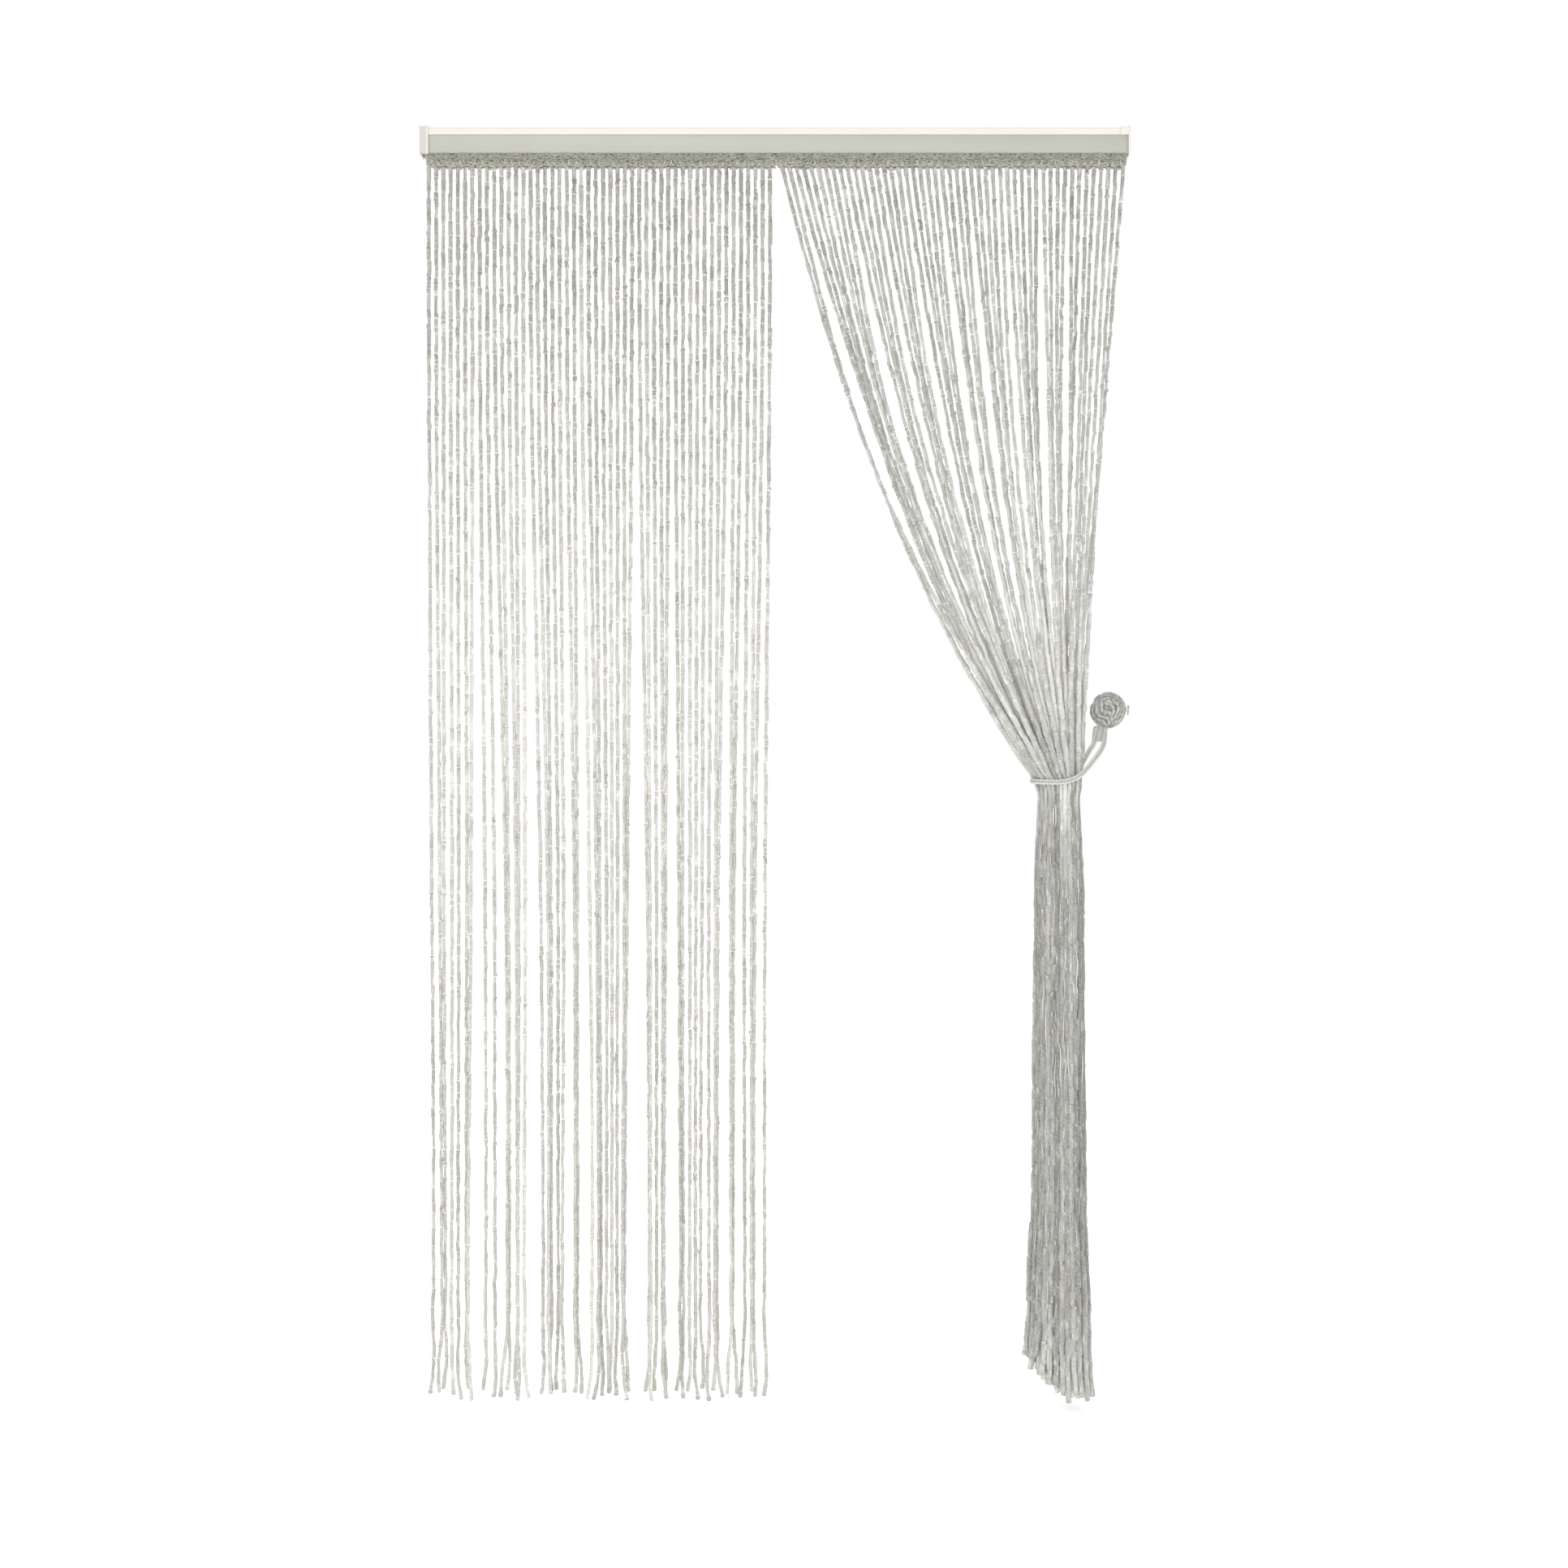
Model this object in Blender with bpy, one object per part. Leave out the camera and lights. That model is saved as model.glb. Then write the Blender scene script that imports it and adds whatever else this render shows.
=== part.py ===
"""String fly screen curtain: two crocheted strand panels on a header rail, one drawn into a tie.

Metres, +Z up, front towards -Y. The origin is the middle of the rail's flat top.
"""
import math

import bmesh
import bpy
from mathutils import Vector

MM = 0.001
GAP = 0.3 * MM                       # clearance between pieces that touch

# Header rail, an inverted C-channel
RAIL_LENGTH = 1.170                  # over both end caps
RAIL_BACK = 13.0 * MM                # back wall's outer face
RAIL_FACE = 13.4 * MM                # front wall's outer face
RAIL_HEIGHT = 44.0 * MM
RAIL_WALL = 1.6 * MM
LIP_FRONT = 15.0 * MM                # face of the raised band along the top of the front
LIP_TOP = 3.4 * MM                   # the band starts this far below the flat top
LIP_BOTTOM = 14.1 * MM
TOP_SETBACK = 8.0 * MM               # front edge of the flat top
SLOT_HALF = 4.0 * MM                 # half of the slot that the heading's neck comes through

# End caps
CAP_PLATE = 3.0 * MM
LEFT_COVER = 14.4 * MM               # how far the left cap reaches along the rail
RIGHT_COVER = 16.0 * MM
CAP_WALL = 1.2 * MM
CAP_OVERHANG = 1.6 * MM              # the plate stands this far below the rail

# Crocheted heading
BEAD_HALF = 7.0 * MM
BEAD_HEIGHT = 7.0 * MM
NECK_HALF = 1.5 * MM
BAND_TOP = 44.8 * MM
BAND_MIDDLE = 55.0 * MM
BAND_BOTTOM = 63.0 * MM
BAND_HALF = 4.0 * MM                 # half thickness under the rail
BAND_VALLEY = 3.2 * MM               # half thickness between two strands, at mid height
BAND_KNOT = 4.8 * MM                 # half thickness over a strand, at mid height
BAND_END = 6.0 * MM                  # heading beyond the outermost strand

# Strands
STRANDS = 48                         # in each panel
PITCH = 12.0 * MM
STRAND_HALF = 2.5 * MM
LEFT_FIRST = -0.5725                 # first strand of the left panel
RIGHT_FIRST = 0.0115                 # first strand of the right panel
STRAND_LENGTH = 2.038                # below the heading
LENGTH_SPREAD = 8.0 * MM             # the cut ends are uneven by this much either way

# Bunches that the left panel's strands fall into towards the floor
LEFT_BUNCHES = [
    # strands, centre, pitch
    (7, -0.5340, 11.2 * MM),
    (2, -0.4710, 16.0 * MM),
    (5, -0.4295, 8.4 * MM),
    (5, -0.3677, 9.4 * MM),
    (2, -0.3288, 9.0 * MM),
    (8, -0.2740, 9.0 * MM),
    (5, -0.1960, 8.3 * MM),
    (5, -0.1410, 10.0 * MM),
    (3, -0.1015, 8.7 * MM),
    (2, -0.0712, 9.0 * MM),
    (3, -0.0417, 9.8 * MM),
    (1, -0.0175, 9.0 * MM),
]
LEFT_LEVELS = (0.0, 0.18, 0.36, 0.52, 0.68, 0.82, 0.90, 0.95, 0.98, 1.0)
LEFT_LAYER = 6.5 * MM                # depth between neighbours at the cut ends
LEFT_FLARE = 8.0 * MM                # how far the outer cut ends of a bunch curl away from it
LEFT_CURL = 3.5 * MM                 # uneven sideways curl of every cut end

# Right panel, drawn into the tie
RIGHT_BUNCHES = (2, 7, 4, 4, 5, 4, 5, 5, 4, 5, 3)
BUNCH_SQUEEZE = 0.40                 # how far a bunch closes up half way down
RIGHT_LONGER = 34.0 * MM             # extra length of the strand that is drawn furthest
TIE_X = 0.4692                       # middle of the gathered strands
TIE_Z = -1.0783
TIE_WIDTH = 0.0730                   # of the gathered strands
SKIRT_SPREAD = 21.0 * MM             # steady widening down to the cut ends
SKIRT_FLARE = 14.0 * MM              # extra widening near the cut ends
DRAW_STRAIGHT = 0.60                 # share of the left edge's sideways travel that is a straight line
DRAW_POWER = 2.8                     # how sharply the rest of it curves into the tie
LAYER_ORDER = (0, 3, 1, 4, 2, 5)     # depth layer of each strand in turn
LAYER_PITCH = 7.5 * MM
LAYER_ROUND = 27.0 * MM              # half depth of the oval that the layers fill
LAYER_BULGE = 0.22                   # how much deeper the oval is in its middle than at its sides
SKIRT_DEPTH = 0.25                   # how much deeper the bunch is at its cut ends
RIGHT_LEVELS = (0.0, 0.12, 0.26, 0.40, 0.54, 0.66, 0.77, 0.86, 0.93, 0.98, 1.0)
SKIRT_LEVELS = (0.18, 0.36, 0.54, 0.70, 0.84, 0.94, 1.0)
RIGHT_WAVE = 0.45 * MM
RIGHT_CURL = 7.0 * MM                # sideways curl of the outer cut ends

# Tie
CORD_RADIUS = 3.9 * MM
CORD_STEP = 8.0 * MM                 # distance between the cord's points
CORD_ROUTE = [
    # x, y, z down from the sleeve, round the front, the left side and the back
    (0.5438, -0.0030, -1.0096),
    (0.5425, -0.0055, -1.0170),
    (0.5360, -0.0120, -1.0280),
    (0.5229, -0.0200, -1.0444),
    (0.5100, -0.0248, -1.0590),
    (0.4990, -0.0274, -1.0690),
    (0.4840, -0.0290, -1.0758),
    (0.4692, -0.0297, -1.0788),
    (0.4540, -0.0290, -1.0792),
    (0.4397, -0.0263, -1.0788),
    (0.4298, -0.0170, -1.0782),
    (0.4261, -0.0070, -1.0776),
    (0.4256, 0.0000, -1.0772),
    (0.4254, 0.0072, -1.0768),
    (0.4290, 0.0177, -1.0760),
    (0.4393, 0.0268, -1.0745),
    (0.4540, 0.0292, -1.0722),
    (0.4692, 0.0297, -1.0690),
    (0.4840, 0.0289, -1.0645),
    (0.4980, 0.0270, -1.0590),
    (0.5070, 0.0246, -1.0530),
    (0.5140, 0.0210, -1.0440),
    (0.5216, 0.0138, -1.0280),
    (0.5272, 0.0062, -1.0170),
    (0.5285, 0.0030, -1.0102),
]
BALL_CENTRE = (0.5502, 0.0, -0.9602)
BALL_WIDE = 28.2 * MM                # half width, under the raised turns
BALL_TALL = 29.5 * MM
BALL_TURN = 1.6 * MM                 # how far the wound turns stand out
BALL_ROUND = 32
BALL_RINGS = 16
SLEEVE_TOP = (0.5405, 0.0, -0.9901)
SLEEVE_BOTTOM = (0.5361, 0.0, -1.0080)
SLEEVE_WIDE = 12.6 * MM
SLEEVE_DEEP = 8.4 * MM
SLEEVE_RIB = 0.9 * MM
HOOK_PLATE = 2.0 * MM
HOOK_PLATE_RADIUS = 9.0 * MM
HOOK_PIN_RADIUS = 1.6 * MM


def smooth(value):
    """0 below 0, 1 above 1, and an even S between them."""
    held = min(max(value, 0.0), 1.0)
    return held * held * (3.0 - 2.0 * held)


def uneven(index, rate):
    """A fixed, irregular number between -1 and 1 for each strand."""
    return math.sin(rate * (index + 1) ** 1.31 + 0.7 * index)


def make_material(name, colour, roughness, metallic=0.0):
    material = bpy.data.materials.new(name)
    material.use_nodes = True
    shader = material.node_tree.nodes["Principled BSDF"]
    shader.inputs["Base Color"].default_value = (*colour, 1.0)
    shader.inputs["Roughness"].default_value = roughness
    shader.inputs["Metallic"].default_value = metallic
    material.diffuse_color = (*colour, 1.0)
    return material


def add_object(name, mesh_or_curve, material):
    item = bpy.data.objects.new(name, mesh_or_curve)
    bpy.context.scene.collection.objects.link(item)
    item.data.materials.append(material)
    return item


def finish_mesh(name, work, material, smooth_shaded=False):
    """Turn a bmesh into a named object with its faces pointing out."""
    bmesh.ops.recalc_face_normals(work, faces=work.faces[:])
    mesh = bpy.data.meshes.new(name)
    work.to_mesh(mesh)
    work.free()
    if smooth_shaded:
        mesh.shade_smooth()
        mesh.set_sharp_from_angle(angle=math.radians(50))
    return add_object(name, mesh, material)


def extrude_profile(work, profile, x_start, x_end):
    """A closed (y, z) outline carried along X."""
    start = [work.verts.new((x_start, y, z)) for y, z in profile]
    face = work.faces.new(start)
    moved = bmesh.ops.extrude_face_region(work, geom=[face])["geom"]
    ends = [item for item in moved if isinstance(item, bmesh.types.BMVert)]
    bmesh.ops.translate(work, verts=ends, vec=(x_end - x_start, 0.0, 0.0))


def rail_profile():
    """The rail's section: flat top, raised front band, two walls and the slotted floor."""
    inner_front = -RAIL_FACE + RAIL_WALL
    inner_back = RAIL_BACK - RAIL_WALL
    floor_top = -RAIL_HEIGHT + RAIL_WALL
    step = -LIP_TOP - RAIL_WALL
    return [
        (-TOP_SETBACK, 0.0),
        (RAIL_BACK, 0.0),
        (RAIL_BACK, -RAIL_HEIGHT),
        (SLOT_HALF, -RAIL_HEIGHT),
        (SLOT_HALF, floor_top),
        (inner_back, floor_top),
        (inner_back, -RAIL_WALL),
        (-TOP_SETBACK + RAIL_WALL, -RAIL_WALL),
        (-TOP_SETBACK + RAIL_WALL, step),
        (inner_front, step),
        (inner_front, floor_top),
        (-SLOT_HALF, floor_top),
        (-SLOT_HALF, -RAIL_HEIGHT),
        (-RAIL_FACE, -RAIL_HEIGHT),
        (-RAIL_FACE, -LIP_BOTTOM),
        (-LIP_FRONT, -LIP_BOTTOM),
        (-LIP_FRONT, -LIP_TOP),
        (-TOP_SETBACK, -LIP_TOP),
    ]


def build_rail(material):
    half = RAIL_LENGTH / 2 - CAP_PLATE - GAP
    work = bmesh.new()
    extrude_profile(work, rail_profile(), -half, half)
    return finish_mesh("rail", work, material)


def build_cap(name, side, cover, cover_bottom, material):
    """An end plate, a top block level with the rail's top, and a front cover down to cover_bottom.

    The block and the cover reach along the rail by cover.
    """
    outer = side * RAIL_LENGTH / 2
    inner = outer - side * CAP_PLATE
    reach = outer - side * cover
    front = -LIP_FRONT - GAP - CAP_WALL
    cover_back = -LIP_FRONT - GAP
    block_back = -TOP_SETBACK - GAP
    block_bottom = -LIP_TOP + GAP
    plate_bottom = -RAIL_HEIGHT - CAP_OVERHANG
    plate_back = RAIL_BACK + CAP_WALL
    work = bmesh.new()
    cover = [
        (front, 0.0),
        (block_back, 0.0),
        (block_back, block_bottom),
        (cover_back, block_bottom),
        (cover_back, cover_bottom),
        (front, cover_bottom),
    ]
    rest = [
        (block_back, 0.0),
        (plate_back, 0.0),
        (plate_back, plate_bottom),
        (front, plate_bottom),
        (front, cover_bottom),
        (cover_back, cover_bottom),
        (cover_back, block_bottom),
        (block_back, block_bottom),
    ]
    outline = [(front, 0.0), (block_back, 0.0)] + rest[1:4] + [(front, cover_bottom)]
    corners = {}

    def corner(x, y, z):
        key = (round(x, 7), round(y, 7), round(z, 7))
        if key not in corners:
            corners[key] = work.verts.new((x, y, z))
        return corners[key]

    def add_walls(ring, x_a, x_b):
        for first, second in zip(ring, ring[1:] + ring[:1]):
            work.faces.new([corner(x_a, *first), corner(x_a, *second),
                            corner(x_b, *second), corner(x_b, *first)])

    add_walls(outline, outer, inner)
    add_walls(cover, inner, reach)
    work.faces.new([corner(outer, *point) for point in outline])
    work.faces.new([corner(inner, *point) for point in rest])
    work.faces.new([corner(reach, *point) for point in cover])
    return finish_mesh(name, work, material)


def left_strand(index):
    """Middle line of a left strand: straight, then into its bunch, with a curled end."""
    root_x = LEFT_FIRST + PITCH * index
    start = 0
    for count, centre, pitch in LEFT_BUNCHES:
        if index < start + count:
            from_middle = index - start - (count - 1) / 2
            break
        start += count
    bunch_x = centre + pitch * from_middle
    layer = (index % 3 - 1) * LEFT_LAYER
    flare = LEFT_FLARE * 2 * from_middle / count + LEFT_CURL * uneven(index, 2.1)
    length = STRAND_LENGTH + LENGTH_SPREAD * (uneven(index, 3.7) - 1.0)
    line = []
    for level in LEFT_LEVELS:
        x = root_x + (bunch_x - root_x) * smooth((level - 0.05) / 0.65)
        x += flare * max(0.0, (level - 0.93) / 0.07) ** 2
        y = layer * smooth((level - 0.70) / 0.22)
        line.append((x, y, -BAND_BOTTOM - length * level))
    return line


def bunch_target(index):
    """Where a right strand would lie across the fan, 0 to 1, if its bunch closed to a line."""
    start = 0
    for count in RIGHT_BUNCHES:
        if index < start + count:
            return (start + (count - 1) / 2) / (STRANDS - 1)
        start += count
    return 1.0


def layer_place(index):
    """A gathered strand's depth, and how much the oval narrows at that depth."""
    across = index / (STRANDS - 1) - 0.5
    flat = (LAYER_ORDER[index % len(LAYER_ORDER)] - 2.5) * LAYER_PITCH
    oval = math.sqrt(1.0 - (flat / LAYER_ROUND) ** 2)
    return flat * (1.0 + LAYER_BULGE * (1.0 - 4.0 * across * across)), oval


def drawn_point(index, level):
    """A right strand's place between the heading, level 0, and the tie, level 1."""
    curve = DRAW_STRAIGHT * level + (1.0 - DRAW_STRAIGHT) * level ** DRAW_POWER
    right_root = RIGHT_FIRST + PITCH * (STRANDS - 1)
    left_edge = RIGHT_FIRST + (TIE_X - TIE_WIDTH / 2 - RIGHT_FIRST) * curve
    right_edge = right_root + (TIE_X + TIE_WIDTH / 2 - right_root) * level
    across = index / (STRANDS - 1)
    closing = BUNCH_SQUEEZE * smooth(level / 0.45) * (1.0 - smooth((level - 0.72) / 0.28))
    across += (bunch_target(index) - across) * closing - 0.5
    depth, oval = layer_place(index)
    x = (left_edge + right_edge) / 2 + (right_edge - left_edge) * across * (1.0 - (1.0 - oval) * level ** 4)
    x += RIGHT_WAVE * math.sin(9.0 * level + 1.7 * index) * smooth(level / 0.3)
    return x, depth * (1.0 - (1.0 - level) ** 2), -BAND_BOTTOM + (TIE_Z + BAND_BOTTOM) * level


def skirt_point(index, level, drop):
    """A right strand's place between the tie, level 0, and its cut end, level 1."""
    across = index / (STRANDS - 1) - 0.5
    depth, oval = layer_place(index)
    width = TIE_WIDTH + SKIRT_SPREAD * level ** 0.6 + SKIRT_FLARE * smooth((level - 0.68) / 0.20)
    x = TIE_X + width * across * oval
    x += RIGHT_WAVE * math.sin(9.0 + 14.0 * level + 1.7 * index)
    x += RIGHT_CURL * 2.0 * across * max(0.0, (level - 0.90) / 0.10) ** 2
    return x, depth * (1.0 + SKIRT_DEPTH * level), TIE_Z - drop * level


def right_strand(index):
    """Middle line of a right strand: drawn to the tie, through it, and down to its end."""
    line = [drawn_point(index, level) for level in RIGHT_LEVELS]
    used = sum((Vector(b) - Vector(a)).length for a, b in zip(line, line[1:]))
    longer = RIGHT_LONGER * (1.0 - index / (STRANDS - 1)) ** 2
    drop = STRAND_LENGTH + LENGTH_SPREAD * (uneven(index, 3.7) - 1.0) + longer - used
    return line + [skirt_point(index, level, drop) for level in SKIRT_LEVELS]


def heading_stations(first_x):
    """X positions along the heading, two for each strand, and which of them bound a strand."""
    stations = [first_x - BAND_END]
    for index in range(STRANDS):
        middle = first_x + PITCH * index
        stations += [middle - STRAND_HALF, middle + STRAND_HALF]
    return stations + [first_x + PITCH * (STRANDS - 1) + BAND_END]


def add_heading(work, first_x):
    """Bead, neck and knotted band as one skin. Gives back the open root rings, one for each strand."""
    stations = heading_stations(first_x)
    last = len(stations) - 1
    rows = {key: [] for key in ("front_top", "front_mid", "front_low", "back_low", "back_mid", "back_top")}
    for number, x in enumerate(stations):
        thick = BAND_VALLEY if number in (0, last) or number % 2 == 0 else BAND_KNOT
        for sign, side in ((-1, "front"), (1, "back")):
            rows[side + "_top"].append(work.verts.new((x, sign * BAND_HALF, -BAND_TOP)))
            rows[side + "_mid"].append(work.verts.new((x, sign * thick, -BAND_MIDDLE)))
            rows[side + "_low"].append(work.verts.new((x, sign * STRAND_HALF, -BAND_BOTTOM)))
    order = ("front_top", "front_mid", "front_low", "back_low", "back_mid", "back_top")
    roots = []
    for upper, lower in zip(order, order[1:]):
        for number in range(last):
            ring = [rows[upper][number], rows[upper][number + 1],
                    rows[lower][number + 1], rows[lower][number]]
            if upper == "front_low" and number % 2 == 1:
                roots.append(ring)
            else:
                work.faces.new(ring)
    floor = -RAIL_HEIGHT + RAIL_WALL + GAP
    crown = [
        (-NECK_HALF, -BAND_TOP), (-NECK_HALF, floor), (-BEAD_HALF, floor), (-BEAD_HALF, floor + BEAD_HEIGHT),
        (BEAD_HALF, floor + BEAD_HEIGHT), (BEAD_HALF, floor), (NECK_HALF, floor), (NECK_HALF, -BAND_TOP),
    ]
    start = [work.verts.new((stations[0], y, z)) for y, z in crown]
    end = [work.verts.new((stations[-1], y, z)) for y, z in crown]
    for number in range(len(crown) - 1):
        work.faces.new([start[number], start[number + 1], end[number + 1], end[number]])
    work.faces.new([start[0], end[0]] + rows["front_top"][::-1])
    work.faces.new([end[-1], start[-1]] + rows["back_top"])
    for number, crown_ring in ((0, start), (last, end)):
        band_ring = [rows[key][number] for key in order]
        work.faces.new(crown_ring + band_ring[::-1])
    return roots


def add_strand(work, root, line):
    """Carry a square ring down a middle line and close its end."""
    ring = root
    for x, y, z in line[1:]:
        corners = [(-1, -1), (1, -1), (1, 1), (-1, 1)]
        lower = [work.verts.new((x + STRAND_HALF * a, y + STRAND_HALF * b, z)) for a, b in corners]
        for number in range(4):
            following = (number + 1) % 4
            work.faces.new([ring[number], ring[following], lower[following], lower[number]])
        ring = lower
    work.faces.new(ring[::-1])


def build_panel(name, first_x, strand_line, material):
    work = bmesh.new()
    roots = add_heading(work, first_x)
    for index, root in enumerate(roots):
        add_strand(work, root, strand_line(index))
    return finish_mesh(name, work, material)


def smooth_route(route, step):
    """Points a fixed distance apart on a Catmull-Rom curve through the route."""
    points = [Vector(point) for point in route]
    points = [2 * points[0] - points[1]] + points + [2 * points[-1] - points[-2]]
    fine = []
    for a, b, c, d in zip(points, points[1:], points[2:], points[3:]):
        for part in range(12):
            t = part / 12
            fine.append(0.5 * (2 * b + (c - a) * t + (2 * a - 5 * b + 4 * c - d) * t * t
                               + (3 * b - a - 3 * c + d) * t ** 3))
    fine.append(points[-2])
    lengths = [0.0]
    for a, b in zip(fine, fine[1:]):
        lengths.append(lengths[-1] + (b - a).length)
    count = round(lengths[-1] / step)
    chosen = []
    place = 0
    for number in range(count + 1):
        target = lengths[-1] * number / count
        while place < len(fine) - 2 and lengths[place + 1] < target:
            place += 1
        share = (target - lengths[place]) / (lengths[place + 1] - lengths[place])
        chosen.append(fine[place].lerp(fine[place + 1], share))
    return chosen


def build_cord(material):
    points = smooth_route(CORD_ROUTE, CORD_STEP)
    curve = bpy.data.curves.new("tie_cord", "CURVE")
    curve.dimensions = "3D"
    curve.bevel_depth = CORD_RADIUS
    curve.bevel_resolution = 2
    curve.use_fill_caps = True
    spline = curve.splines.new("POLY")
    spline.points.add(len(points) - 1)
    for slot, point in zip(spline.points, points):
        slot.co = (*point, 1.0)
    return add_object("tie_cord", curve, material)


def add_lathe_grid(work, rings, top, bottom):
    """Skin over rings of points, closed by a pole at each end."""
    rows = [[work.verts.new(point) for point in ring] for ring in rings]
    size = len(rows[0])
    for upper, lower in zip(rows, rows[1:]):
        for number in range(size):
            following = (number + 1) % size
            work.faces.new([upper[number], upper[following], lower[following], lower[number]])
    for row, pole in ((rows[0], top), (rows[-1], bottom)):
        tip = work.verts.new(pole)
        for number in range(size):
            work.faces.new([row[number], row[(number + 1) % size], tip])


def build_ball(material):
    """A wound ball: turns of cord that slant across each other stand out of an oval."""
    centre = Vector(BALL_CENTRE)
    rings = []
    for ring in range(1, BALL_RINGS):
        polar = math.pi * ring / BALL_RINGS
        row = []
        for step in range(BALL_ROUND):
            turn = 2 * math.pi * step / BALL_ROUND
            wound = abs(math.sin(3 * turn + 5 * polar)) * math.sin(polar)
            wide = BALL_WIDE + BALL_TURN * wound
            tall = BALL_TALL + BALL_TURN * wound
            row.append(centre + Vector((wide * math.sin(polar) * math.cos(turn),
                                        wide * math.sin(polar) * math.sin(turn), tall * math.cos(polar))))
        rings.append(row)
    work = bmesh.new()
    add_lathe_grid(work, rings, centre + Vector((0, 0, BALL_TALL)), centre - Vector((0, 0, BALL_TALL)))
    return finish_mesh("tie_ball", work, material, smooth_shaded=True)


def build_sleeve(material):
    """A ribbed oval sleeve that widens from the ball down to the cord's two ends."""
    top = Vector(SLEEVE_TOP)
    bottom = Vector(SLEEVE_BOTTOM)
    rings = []
    for level in (0.0, 0.25, 0.5, 0.75, 1.0):
        middle = top.lerp(bottom, level)
        grow = 0.78 + 0.22 * smooth(level * 1.4)
        row = []
        for step in range(24):
            turn = 2 * math.pi * step / 24
            rib = SLEEVE_RIB * (step % 2)
            row.append(middle + Vector(((SLEEVE_WIDE * grow - rib) * math.cos(turn),
                                        (SLEEVE_DEEP * grow - rib) * math.sin(turn), 0.0)))
        rings.append(row)
    work = bmesh.new()
    add_lathe_grid(work, rings, top, bottom)
    return finish_mesh("tie_sleeve", work, material, smooth_shaded=True)


def build_hook(material):
    """A round plate against the side of the opening, and a pin from it to the ball."""
    plate_out = RAIL_LENGTH / 2
    plate_in = plate_out - HOOK_PLATE
    pin_end = BALL_CENTRE[0] + BALL_WIDE + BALL_TURN + GAP
    sections = (
        (plate_out, HOOK_PLATE_RADIUS),
        (plate_in, HOOK_PLATE_RADIUS),
        (plate_in, HOOK_PIN_RADIUS),
        (pin_end, HOOK_PIN_RADIUS),
    )
    rings = []
    for x, radius in sections:
        rings.append([(x, BALL_CENTRE[1] + radius * math.cos(2 * math.pi * step / 16),
                       BALL_CENTRE[2] + radius * math.sin(2 * math.pi * step / 16)) for step in range(16)])
    work = bmesh.new()
    add_lathe_grid(work, rings, (plate_out, *BALL_CENTRE[1:]), (pin_end, *BALL_CENTRE[1:]))
    return finish_mesh("tie_hook", work, material)


def clear_scene():
    for item in list(bpy.data.objects):
        bpy.data.objects.remove(item, do_unlink=True)


def main():
    clear_scene()
    white_metal = make_material("rail_white", (0.80, 0.81, 0.78), 0.45)
    white_plastic = make_material("cap_white", (0.92, 0.91, 0.88), 0.40)
    strand_grey = make_material("strand_grey", (0.66, 0.66, 0.63), 0.30)
    tie_grey = make_material("tie_grey", (0.62, 0.63, 0.61), 0.45)
    pin_metal = make_material("pin_metal", (0.78, 0.77, 0.74), 0.35, 1.0)
    build_rail(white_metal)
    build_cap("end_cap_left", -1, LEFT_COVER, -RAIL_HEIGHT - CAP_OVERHANG / 2, white_plastic)
    build_cap("end_cap_right", 1, RIGHT_COVER, -LIP_BOTTOM, white_plastic)
    build_panel("left_panel", LEFT_FIRST, left_strand, strand_grey)
    build_panel("right_panel", RIGHT_FIRST, right_strand, strand_grey)
    build_cord(tie_grey)
    build_sleeve(tie_grey)
    build_ball(tie_grey)
    build_hook(pin_metal)


main()
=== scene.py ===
import math

import bmesh
import bpy
import numpy as np
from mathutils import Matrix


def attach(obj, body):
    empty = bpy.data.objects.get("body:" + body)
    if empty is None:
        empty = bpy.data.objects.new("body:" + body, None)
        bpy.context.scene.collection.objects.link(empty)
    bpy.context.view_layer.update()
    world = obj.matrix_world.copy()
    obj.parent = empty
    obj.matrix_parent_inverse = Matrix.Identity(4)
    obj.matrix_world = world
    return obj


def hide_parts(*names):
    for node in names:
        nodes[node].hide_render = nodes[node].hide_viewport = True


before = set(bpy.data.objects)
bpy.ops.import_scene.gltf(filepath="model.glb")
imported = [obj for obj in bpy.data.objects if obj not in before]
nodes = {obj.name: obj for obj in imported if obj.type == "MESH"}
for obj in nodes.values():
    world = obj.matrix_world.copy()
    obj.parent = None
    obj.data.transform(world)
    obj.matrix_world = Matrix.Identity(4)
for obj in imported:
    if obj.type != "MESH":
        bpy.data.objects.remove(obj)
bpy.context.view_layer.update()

cameraView = {
    "place": (0.01469, -3.006, -1.0823),  # straight in front, half way down the curtain
    "lensMm": 41.74,
    "sensorMm": 36.0,
}


def makeCamera(view):
    lens = bpy.data.cameras.new("photoCamera")
    lens.lens = view["lensMm"]
    lens.sensor_width = view["sensorMm"]
    lens.clip_end = 60.0
    camera = bpy.data.objects.new("photoCamera", lens)
    camera.location = view["place"]
    camera.rotation_euler = (math.radians(90.0), 0.0, 0.0)
    bpy.context.scene.collection.objects.link(camera)
    bpy.context.scene.camera = camera


makeCamera(cameraView)
print("camera placed")


# shapes that every piece shares

sideways = np.array((1.0, 0.0, 0.0))
forwards = np.array((0.0, 1.0, 0.0))


def smoothStep(value):
    # 0 below 0, 1 above 1, and 3h^2 - 2h^3 between them
    held = np.clip(value, 0.0, 1.0)
    return held * held * (3.0 - 2.0 * held)


def uneven(index, rate):
    # a fixed irregular number from -1 to 1: the sine of rate * (i + 1)^1.31 + 0.7 i
    return np.sin(rate * (index + 1.0) ** 1.31 + 0.7 * index)


def unit(vectors):
    return vectors / np.linalg.norm(vectors, axis=-1, keepdims=True)


def lengthsAlong(lines):
    # running length at each point of lines that are tubes x points x 3
    steps = np.linalg.norm(np.diff(lines, axis=1), axis=2)
    return np.concatenate((np.zeros((len(lines), 1)), np.cumsum(steps, axis=1)), axis=1)


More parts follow.
